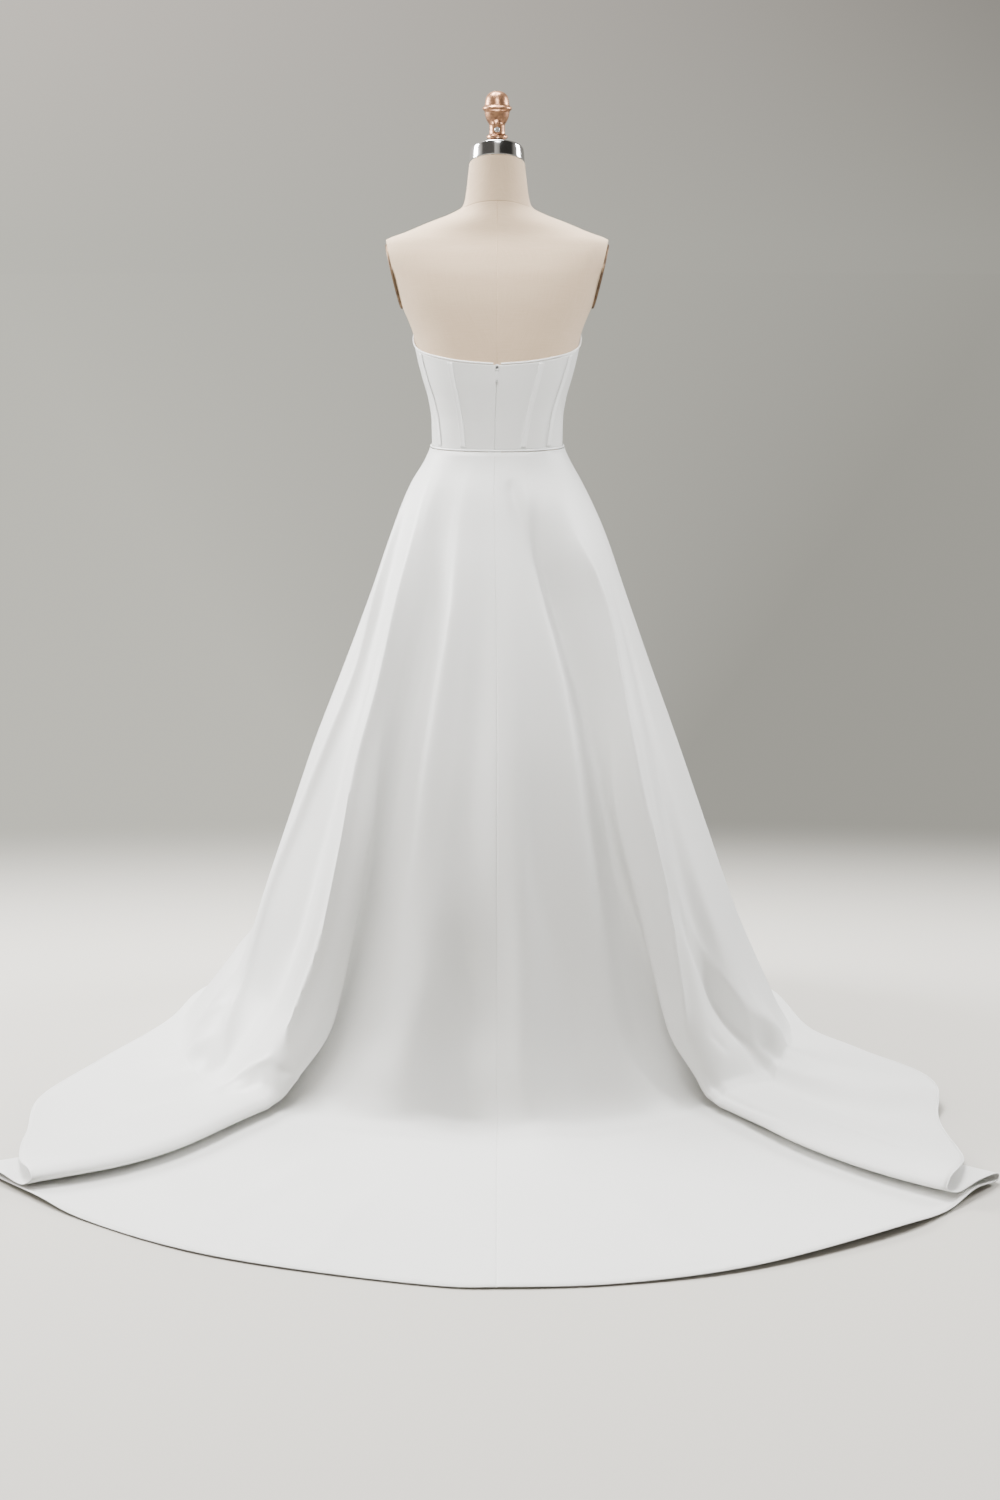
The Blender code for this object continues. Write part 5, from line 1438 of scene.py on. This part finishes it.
@dataclass
class DressForm:
    """The linen torso, its arm plates, neck band, finial, screw, pole and foot."""

    form: FormShape
    neck_tilt: float = 18.0
    band_z: float = 1.5914
    plate: float = 0.0045
    pole_radius: float = 0.0150
    pole_bottom: float = 0.0335
    pole_top: float = 0.8847
    base_radius: float = 0.1800
    base_height: float = 0.0240
    bottom: float = 0.885
    top: float = 1.591
    collar: float = 1.513
    collar_slant: float = 0.016
    arm_low: tuple = (0.1660, 0.0, 1.3400)
    arm_high: tuple = (0.1945, 0.0, 1.4590)

    def torso(self, finishes: Finishes) -> None:
        """Makes the torso with its seams and flat armholes.

        Args:
            finishes: the part's finishes.
        """
        close = (-1.6, -0.9, -0.45, -0.2, 0.0, 0.2, 0.45, 0.9, 1.6)
        turns = np.concatenate((np.array(close), np.linspace(3.5, 176.5, 64), 180.0 + np.array(close),
                                np.linspace(183.5, 356.5, 64), [358.4]))
        near = 0.001 * np.array((-3.0, -1.6, -0.8, -0.4, 0.0, 0.4, 0.8, 1.6, 3.0))
        levels = np.concatenate((np.arange(self.bottom, self.collar - 0.0045, 0.006), self.collar + near,
                                 np.linspace(self.collar + 0.007, self.top, 14)))
        slant = Curve((1.44, 1.50, self.collar, self.top), (0.0, 0.013, self.collar_slant, 0.0155))
        azimuth = turns[None, :] + 0.0 * levels[:, None]
        height = levels[:, None] + slant(levels)[:, None] * np.cos(np.radians(azimuth))
        points = self.form.point(height, azimuth)
        inward = unit(points * (1.0, 1.0, 0.0))
        seam = np.minimum(np.abs((azimuth + 180.0) % 360.0 - 180.0), np.abs(azimuth - 180.0))
        along = np.radians(seam) * np.hypot(points[..., 0], points[..., 1])
        groove = np.exp(-((along / 0.0006) ** 2)) * (height < 1.53)
        groove = np.maximum(groove, np.exp(-(((levels[:, None] - self.collar) / 0.0006) ** 2)))
        points = points - inward * (0.0006 * groove)[..., None]
        bm = bmesh.new()
        uv = arc_lengths(points)
        place_grid(bm, points, uv)
        bmesh.ops.remove_doubles(bm, verts=bm.verts, dist=1e-6)
        bmesh.ops.holes_fill(bm, edges=[e for e in bm.edges if e.is_boundary])
        for side in (1.0, -1.0):
            out, middle = self.arm_frame(side)
            cut = bmesh.ops.bisect_plane(bm, geom=bm.verts[:] + bm.edges[:] + bm.faces[:], dist=1e-6,
                                         plane_co=middle, plane_no=out, clear_outer=True)
            rims = [e for e in cut["geom_cut"] if isinstance(e, bmesh.types.BMEdge) and e.is_boundary]
            bmesh.ops.holes_fill(bm, edges=rims)
        bmesh.ops.recalc_face_normals(bm, faces=bm.faces)
        settle(write_mesh("torso_cover", bm, 38.0), finishes.linen, "linen", "form_torso")

    def arm_frame(self, side: float) -> tuple[Vector, Vector]:
        """The outward direction and the middle of an armhole."""
        low = Vector((side * self.arm_low[0], 0.0, self.arm_low[2]))
        high = Vector((side * self.arm_high[0], 0.0, self.arm_high[2]))
        along = (high - low).normalized()
        return Vector((side * along.z, 0.0, -side * along.x)), (low + high) * 0.5

    def plates(self, finishes: Finishes) -> None:
        """Makes the two oval arm plates."""
        tall = math.dist(self.arm_low, self.arm_high) * 0.5 - 0.004
        section = ((0.0003, 1.0), (0.0022, 1.008), (0.0034, 0.997), (0.0042, 0.965), (0.0045, 0.92),
                   (0.0045, 0.55), (0.0045, 0.2))
        for side, label in ((1.0, "left"), (-1.0, "right")):
            out, middle = self.arm_frame(side)
            along = Vector((0.0, 1.0, 0.0)).cross(out)
            turn = np.linspace(0.0, 2 * math.pi, 65)
            rings = []
            for offset, shrink in section:
                flat = 0.0385 * shrink * np.cos(turn)
                rise = tall * shrink * np.sin(turn)
                ring = np.array(middle + out * offset)[None, :] + rise[:, None] * np.array(along)[None, :]
                ring = ring + flat[:, None] * np.array((0.0, 1.0, 0.0))[None, :]
                rings.append(ring)
            item = closed_grid("arm_plate_" + label, np.stack(rings), 50.0)
            settle(item, finishes.bronze, "bronze_plate", "armhole_plate_" + label)

    def turned_piece(self, name: str, profile: list[tuple[float, float]], steps: int,
                     smooth_angle: float = 40.0) -> bpy.types.Object:
        """A turned piece from pole to pole."""
        bm = bmesh.new()
        turned_mesh(bm, profile, steps)
        return write_mesh(name, bm, smooth_angle)

    def hardware(self, finishes: Finishes) -> None:
        """Makes the neck band, finial, screw, pole and foot.

        Args:
            finishes: the part's finishes.
        """
        slope = math.tan(math.radians(self.neck_tilt))
        bm = bmesh.new()
        profile = [(0.0, 0.0), (0.0470, 0.0)]
        profile += rounded([(0.0475, 0.0002), (0.0483, 0.0012), (0.0476, 0.0100), (0.0469, 0.0205),
                            (0.0458, 0.0248), (0.0430, 0.0270), (0.0385, 0.0288)], 2)
        profile += rounded([(0.0380, 0.0290), (0.0300, 0.0330), (0.0240, 0.0362), (0.0160, 0.0412)], 1)
        profile += [(0.0150, 0.0416), (0.0, 0.0416)]
        turned_mesh(bm, profile, 96)
        share = Curve((0.0, 0.0268, 0.0288, 0.0365, 0.0416), (1.0, 1.0, 0.9, 0.35, 0.0))
        for vertex in bm.verts:
            vertex.co.z += self.band_z + float(share(vertex.co.z)) * slope * vertex.co.y
        band = write_mesh("neck_band_shell", bm, 30.0)
        settle(band, finishes.chrome, "band_chrome", "neck_band")

        outline = [(0.0, 1.6334), (0.0115, 1.6334), (0.0178, 1.6342), (0.0184, 1.6372), (0.0180, 1.6398),
                   (0.0146, 1.6412), (0.0134, 1.6430), (0.0132, 1.6560), (0.0140, 1.6588), (0.0166, 1.6622),
                   (0.0200, 1.6690), (0.0214, 1.6760), (0.0220, 1.6802), (0.0246, 1.6822), (0.0258, 1.6848),
                   (0.0252, 1.6872), (0.0222, 1.6888), (0.0212, 1.6920), (0.0204, 1.6980), (0.0188, 1.7046),
                   (0.0155, 1.7096), (0.0100, 1.7128), (0.0040, 1.7143), (0.0, 1.7145)]
        finial = self.turned_piece("finial_turned", rounded(outline, 2), 72)
        settle(finial, finishes.copper, "copper", "finial")

        screw = [(0.0, 0.0142), (0.0022, 0.0142), (0.0022, 0.0166), (0.0040, 0.0168), (0.0046, 0.0174),
                 (0.0046, 0.0196), (0.0040, 0.0205), (0.0012, 0.0206), (0.0008, 0.0200), (0.0, 0.0200)]
        item = self.turned_piece("thumb_screw", screw, 40, 30.0)
        item.data.transform(Matrix.Translation((0.0, 0.0, 1.6490)) @ Matrix.Rotation(-math.pi / 2, 4, "X"))
        settle(item, finishes.steel, "screw_steel", "finial_screw")

        pole = [(0.0, self.pole_bottom), (self.pole_radius - 0.0004, self.pole_bottom),
                (self.pole_radius, self.pole_bottom + 0.0004), (self.pole_radius, self.pole_top - 0.0004),
                (self.pole_radius - 0.0004, self.pole_top), (0.0, self.pole_top)]
        settle(self.turned_piece("pole_tube", pole, 48, 30.0), finishes.pole, "pole_steel", "pole")

        rim = self.base_radius
        foot = [(0.0, 0.0), (rim - 0.005, 0.0)]
        foot += rounded([(rim - 0.004, 0.0), (rim, 0.004), (rim, 0.014), (rim - 0.006, 0.0175),
                         (rim - 0.02, self.base_height), (0.060, self.base_height + 0.002),
                         (0.040, self.base_height + 0.004), (0.030, self.pole_bottom - 0.003),
                         (0.026, self.pole_bottom - 0.0003)], 2)
        foot += [(0.0, self.pole_bottom - 0.0003)]
        settle(self.turned_piece("foot_casting", foot, 96), finishes.iron, "foot_iron", "foot")

    def build(self, finishes: Finishes) -> None:
        """Makes the whole dress form.

        Args:
            finishes: the part's finishes.
        """
        self.torso(finishes)
        self.plates(finishes)
        self.hardware(finishes)


@dataclass
class Zip:
    """The concealed zip: its tapes, coil and bottom stop, the slider and the pull tab."""

    form: FormShape
    slider_z: float = 1.2470
    width: float = 0.0094
    height: float = 0.0136
    thick: float = 0.0022
    out: float = 0.0030
    pin_z: float = 1.2440
    pin_out: float = 0.0018
    pin_radius: float = 0.0005
    pin_half: float = 0.0022
    eye_radius: float = 0.0014
    eye_hole: float = 0.0008
    eye_half: float = 0.0013
    tab_length: float = 0.0215
    tab_width: float = 0.0044
    tab_thick: float = 0.0011
    tab_hole: float = 0.0011
    top: float = 1.2390
    waist: float = 1.1030
    end_way: float = 0.135
    tooth: float = 0.0014
    tape_width: float = 0.0110

    @property
    def back(self) -> float:
        """How far behind the axis the slider's underside lies."""
        return float(self.form.radius(self.slider_z, 0.0)) + self.out

    @property
    def pin_y(self) -> float:
        """How far behind the axis the slider's pin lies."""
        return self.back + self.thick + self.pin_out

    def slider(self, finishes: Finishes) -> None:
        """Makes the slider with its bridge, and a dark core on its face that is painted shade under the bridge.

        Args:
            finishes: the part's finishes.
        """
        above, below = (float(self.form.radius(self.slider_z + d, 0.0)) for d in (0.006, -0.006))
        slope = (above - below) / 0.012
        turn = np.linspace(0.0, 2 * math.pi, 73)
        section = ((0.0, 0.88), (0.0002, 0.95), (0.0006, 0.99), (0.0010, 1.0), (0.0014, 0.99), (0.0018, 0.95),
                   (0.0021, 0.88), (0.0022, 0.80), (0.00225, 0.55), (0.0022, 0.25))
        rings = []
        for offset, shrink in section:
            x = 0.5 * self.width * shrink * np.cos(turn)
            rise = 0.5 * self.height * shrink * np.sin(turn)
            rings.append(np.stack((x, self.back + offset + slope * rise, self.slider_z + rise), axis=-1))
        half, low, high = self.pin_half, self.back + self.thick - 0.0006, self.pin_y
        arch = rounded([(-half, low), (-half, high - 0.0006), (-half, high), (-half + 0.0006, high),
                        (half - 0.0006, high), (half, high), (half, high - 0.0006), (half, low)], 2)
        path = np.array([(x, y, self.pin_z) for x, y in arch])
        item = closed_grid("zip_slider_body", [np.stack(rings), tube(path, self.pin_radius, 14)], 35.0)
        settle(item, finishes.enamel, "zip_enamel", "zip_slider")
        # A dark oval on the slider's face: painted shade for the hollow under the bridge.
        painted_shade_core = []
        for offset, shrink in ((0.00215, 0.56), (0.00240, 0.55), (0.00246, 0.50), (0.00248, 0.30)):
            x = 0.5 * self.width * shrink * np.cos(turn)
            rise = 0.5 * self.height * shrink * np.sin(turn)
            painted_shade_core.append(np.stack((x, self.back + offset + slope * rise, self.slider_z + rise), axis=-1))
        settle(closed_grid("zip_slider_painted_shade_core", np.stack(painted_shade_core), 35.0), finishes.painted_shade_steel, "zip_enamel")

    def tab(self, finishes: Finishes) -> None:
        """Makes the pull tab with its eye and its hole, the hole lined in dark steel as painted shade.

        Args:
            finishes: the part's finishes.
        """
        half = 0.5 * self.tab_width
        arc = np.linspace(0.0, -math.pi, 25)
        outline = [(half * math.cos(a), -self.tab_length + half + half * math.sin(a)) for a in arc]
        outline += [(-0.94 * half, -0.0100), (-0.88 * half, -0.0060), (-0.60 * half, -0.0035),
                    (-self.eye_half, -0.0014), (-self.eye_half, -0.0009), (self.eye_half, -0.0009),
                    (self.eye_half, -0.0014), (0.60 * half, -0.0035), (0.88 * half, -0.0060),
                    (0.94 * half, -0.0100), outline[0]]
        edge = np.array(outline)
        middle = np.array((0.0, -self.tab_length + half + 0.0004))
        ring = middle + self.tab_hole * unit(edge - middle)
        inner = edge + 0.00025 * unit(middle + (0.0, 0.004) - edge)
        thick = 0.5 * self.tab_thick
        rows = ((ring, thick - 0.0001), (ring + (edge - ring) * 0.06, thick), (inner, thick), (edge, thick - 0.0002),
                (edge, 0.0002 - thick), (inner, -thick), (ring + (edge - ring) * 0.06, -thick),
                (ring, 0.0001 - thick), (ring, thick - 0.0001))
        plate = [np.stack((flat[:, 0], np.full(len(flat), y), flat[:, 1]), axis=-1) for flat, y in rows]
        turn = np.linspace(0.0, 2 * math.pi, 33)
        wide = self.eye_half
        section = ((-wide, 0.00090), (-wide, 0.00130), (-wide + 0.0001, self.eye_radius), (0.0, self.eye_radius),
                   (wide - 0.0001, self.eye_radius), (wide, 0.00130), (wide, 0.00090),
                   (wide - 0.0001, self.eye_hole), (0.0, self.eye_hole), (0.0001 - wide, self.eye_hole), (-wide, 0.00090))
        eye = [np.stack((np.full(len(turn), x), r * np.cos(turn), r * np.sin(turn)), axis=-1) for x, r in section]
        move = np.array((0.0, self.pin_y, self.pin_z))
        item = closed_grid("zip_tab_plate", [np.stack(plate) + move, np.stack(eye) + move], 35.0)
        settle(item, finishes.enamel, "zip_enamel", "zip_pull_tab", body=TAB_BODY)
        # A dark lining inside the tab's hole: painted shade.
        section = ((0.00108, -0.00056), (0.00130, -0.00068), (0.00105, -0.00074), (0.00062, -0.0006), (0.00055, 0.0),
                   (0.00062, 0.0006), (0.00105, 0.00074), (0.00130, 0.00068), (0.00108, 0.00056), (0.00108, -0.00056))
        painted_shade_lining = [np.stack((middle[0] + r * np.cos(turn), np.full(len(turn), y), middle[1] + r * np.sin(turn)), axis=-1)
                  for r, y in section]
        item = closed_grid("zip_tab_painted_shade_eyelet", np.stack(painted_shade_lining) + move, 35.0)
        settle(item, finishes.painted_shade_steel, "zip_enamel", body=TAB_BODY)

    def line(self, seam: Array, outward: Array) -> tuple[Array, Array]:
        """The zip's line behind the cloth, with its outward directions.

        Args:
            seam: the skirt's centre back seam.
            outward: its outward directions.

        Returns:
            The points from the slider down, and the directions.
        """
        height = np.linspace(self.top, self.waist, 60)
        share = (height - self.waist) / (TOP_EDGE[0][1] - self.waist)
        azimuth = SEAMS[0][2] * (1.0 - share)
        upper = self.form.skin(height, azimuth, np.full(len(height), 0.0010))
        ways = np.linspace(0.0, 1.66, len(seam))
        lower = ways <= self.end_way
        lower[0] = False
        points = np.concatenate((upper, (seam - outward * 0.0024)[lower]))
        return points, np.concatenate((unit(upper * (1.0, 1.0, 0.0)), outward[lower]))

    def build(self, finishes: Finishes, seam: Array, outward: Array) -> None:
        """Makes the whole zip.

        Args:
            finishes: the part's finishes.
            seam: the skirt's centre back seam.
            outward: its outward directions.
        """
        self.slider(finishes)
        self.tab(finishes)
        path, out = self.line(seam, outward)
        across = unit(np.cross(np.gradient(path, axis=0), out))
        run = np.concatenate(([0.0], np.cumsum(np.linalg.norm(np.diff(path, axis=0), axis=-1))))
        for side, label in ((1.0, "left"), (-1.0, "right")):
            offsets = 0.0005 + self.tape_width * np.linspace(0.0, 1.0, 7)
            lines = [path + across * side * x - out * (0.00045 + x * x / 0.42) for x in offsets]
            item = cloth_panel("zip_tape_" + label, np.stack(lines, axis=1), 0.0003)
            settle(item, finishes.painted_highlight_trim, "satin_trim")
            spots = np.arange(0.25 + 0.25 * side, run[-1] / self.tooth - 1.0) * self.tooth
            rings = []
            for spot in spots:
                place, away, turned = (np.array([np.interp(spot, run, v[:, i]) for i in range(3)])
                                       for v in (path, out, across))
                start = place + turned * side * 0.0011
                bend = np.array([start, start - turned * side * 0.0008 + away * 0.0001,
                                 start - turned * side * 0.0014, start - turned * side * 0.0016 - away * 0.0001])
                rings.append(tube(bend, np.array((0.00018, 0.00026, 0.00028, 0.00014)), 6))
            teeth = closed_grid("zip_coil_" + label, rings, 60.0)
            settle(teeth, finishes.thread, "satin_trim")
        end = path[-1]
        stop = tube(np.array([end - across[-1] * 0.0013, end, end + across[-1] * 0.0013]), 0.0006, 10)
        settle(closed_grid("zip_bottom_stop", stop), finishes.enamel, "zip_enamel")


@dataclass
class Studio:
    """The pale floor, the soft lights, the surroundings and the camera."""

    camera_way: float = 4.0
    camera_height: float = 1.5
    camera_side: float = -0.005
    pitch: float = 13.52
    focal_pixels: float = 2212.6
    frame_pixels: float = 1500.0
    sensor: float = 36.0
    wall_left: tuple = (0.74, 0.725, 0.640, 1.0)
    wall_right: tuple = (0.400, 0.390, 0.345, 1.0)
    top_left: tuple = (0.86, 0.80, 0.72, 1.0)
    top_right: tuple = (0.285, 0.270, 0.240, 1.0)
    floor_near: tuple = (0.56, 0.54, 0.495, 1.0)
    floor_bounce: tuple = (0.16, 0.156, 0.148, 1.0)
    pool: tuple = (0.0, 1.2, 0.0)

    def backdrop(self, bench: Bench, x: object, high: bool) -> bpy.types.NodeSocket:
        """The grey surroundings, lighter on the key light's side."""
        share = bench.between(x, -0.24, 0.24, 0.0, 1.0)
        if high:
            return bench.colour(share, self.top_right, self.top_left)
        return bench.colour(share, self.wall_right, self.wall_left)

    def world(self) -> None:
        """Makes the grey surroundings."""
        world = bpy.data.worlds.new("studio_grey")
        bpy.context.scene.world = world
        world.use_nodes = True
        bench = Bench(world.node_tree)
        place = bench.add("ShaderNodeTexCoord")
        parts = bench.add("ShaderNodeSeparateXYZ", {0: place.outputs["Generated"]})
        background = world.node_tree.nodes["Background"]
        rise = bench.between(parts.outputs[2], -0.01, 0.09, 0.0, 1.0)
        low = self.backdrop(bench, parts.outputs[0], False)
        high = self.backdrop(bench, parts.outputs[0], True)
        bench.tree.links.new(bench.colour(rise, low, high), background.inputs[0])
        side = bench.sum("ABSOLUTE", parts.outputs[0])
        dark = bench.sum("MULTIPLY", bench.between(side, 0.14, 0.22, 0.0, 1.0), bench.between(side, 0.90, 0.98, 1.0, 0.0))
        dark = bench.sum("MULTIPLY", dark, bench.between(parts.outputs[1], 0.0, 0.1, 0.0, 0.86))
        shiny = bench.add("ShaderNodeLightPath").outputs["Is Glossy Ray"]
        strength = bench.sum("SUBTRACT", 1.0, bench.sum("MULTIPLY", dark, shiny))
        bench.tree.links.new(strength, background.inputs[1])

    def floor(self) -> None:
        """Makes the floor, lit and pale round the dress, and far off a glow of painted light in the backdrop's grey,
        lighter on the key light's side.
        """
        bm = bmesh.new()
        bmesh.ops.create_circle(bm, cap_ends=True, segments=96, radius=60.0)
        item = write_mesh("studio_floor", bm)
        material, bench, shader, place = start_material("studio_floor")
        spot = place.outputs["Object"]
        off = bench.add("ShaderNodeVectorMath", {0: spot, 1: self.pool}, operation="SUBTRACT")
        flat = bench.add("ShaderNodeVectorMath", {0: off.outputs[0], 1: (0.5, 1.0, 1.0)}, operation="MULTIPLY")
        length = bench.add("ShaderNodeVectorMath", {0: flat.outputs[0]}, operation="LENGTH")
        far = bench.between(length.outputs["Value"], 1.60, 2.70, 0.0, 1.0, True)
        way = bench.add("ShaderNodeVectorMath", {0: spot}, operation="NORMALIZE")
        parts = bench.add("ShaderNodeSeparateXYZ", {0: way.outputs[0]})
        grey = self.backdrop(bench, parts.outputs[0], False)
        seen = bench.add("ShaderNodeLightPath").outputs["Is Camera Ray"]
        pale = bench.colour(seen, self.floor_bounce, self.floor_near)
        bench.tree.links.new(pale, shader.inputs["Base Color"])
        shader.inputs["Roughness"].default_value = 0.8
        shader.inputs["Specular IOR Level"].default_value = 0.2
        # Far off the floor glows: painted light in the backdrop's grey, lighter on the key light's side.
        glow = bench.add("ShaderNodeEmission", {0: grey, 1: 1.0})
        mixed = bench.add("ShaderNodeMixShader", {0: far, 1: shader.outputs[0], 2: glow.outputs[0]})
        output = material.node_tree.nodes["Material Output"]
        bench.tree.links.new(mixed.outputs[0], output.inputs[0])
        item.data.materials.append(material)

    def light(self, name: str, place: tuple, target: tuple, size: float, power: float,
              spread: float = 180.0) -> None:
        """A soft square light."""
        data = bpy.data.lights.new(name, "AREA")
        data.size = size
        data.energy = power
        data.spread = math.radians(spread)
        item = bpy.data.objects.new(name, data)
        item.location = place
        way = Vector(target) - Vector(place)
        item.rotation_euler = way.to_track_quat("-Z", "Y").to_euler()
        bpy.context.scene.collection.objects.link(item)

    def camera(self) -> None:
        """Makes the camera at the photograph's viewing angle."""
        data = bpy.data.cameras.new("camera")
        data.sensor_width = self.sensor
        data.lens = self.sensor * self.focal_pixels / self.frame_pixels
        item = bpy.data.objects.new("camera", data)
        item.location = (self.camera_side, self.camera_way, self.camera_height)
        item.rotation_euler = Euler((math.radians(90.0 - self.pitch), 0.0, math.pi))
        bpy.context.scene.collection.objects.link(item)
        bpy.context.scene.camera = item

    def build(self) -> None:
        """Makes the whole studio."""
        self.world()
        self.floor()
        self.light("overhead", (0.5, -0.2, 4.3), (0.0, 0.2, 0.0), 2.0, 430.0)
        self.light("key", (3.4, -0.9, 2.2), (0.0, 0.1, 0.9), 1.2, 330.0)
        self.light("fill", (-3.4, -0.9, 2.2), (0.0, 0.1, 0.9), 1.2, 190.0)
        self.light("front", (-0.10, 1.5, 2.3), (-0.02, 0.1, 1.13), 0.5, 2.6, 42.0)
        self.camera()


def main() -> None:
    """Builds every piece in order and reports it."""
    logging.basicConfig(level=logging.INFO, format="%(message)s")
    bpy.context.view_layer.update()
    studio = Studio()
    studio.build()
    finishes = Finishes(Workshop(thread_group(), cockle_group()))
    form = FormShape()
    DressForm(form).build(finishes)
    Bodice(form).build(finishes)
    seam, outward = Skirt().build(finishes)
    Zip(form).build(finishes, seam, outward)


if __name__ == "__main__":
    main()
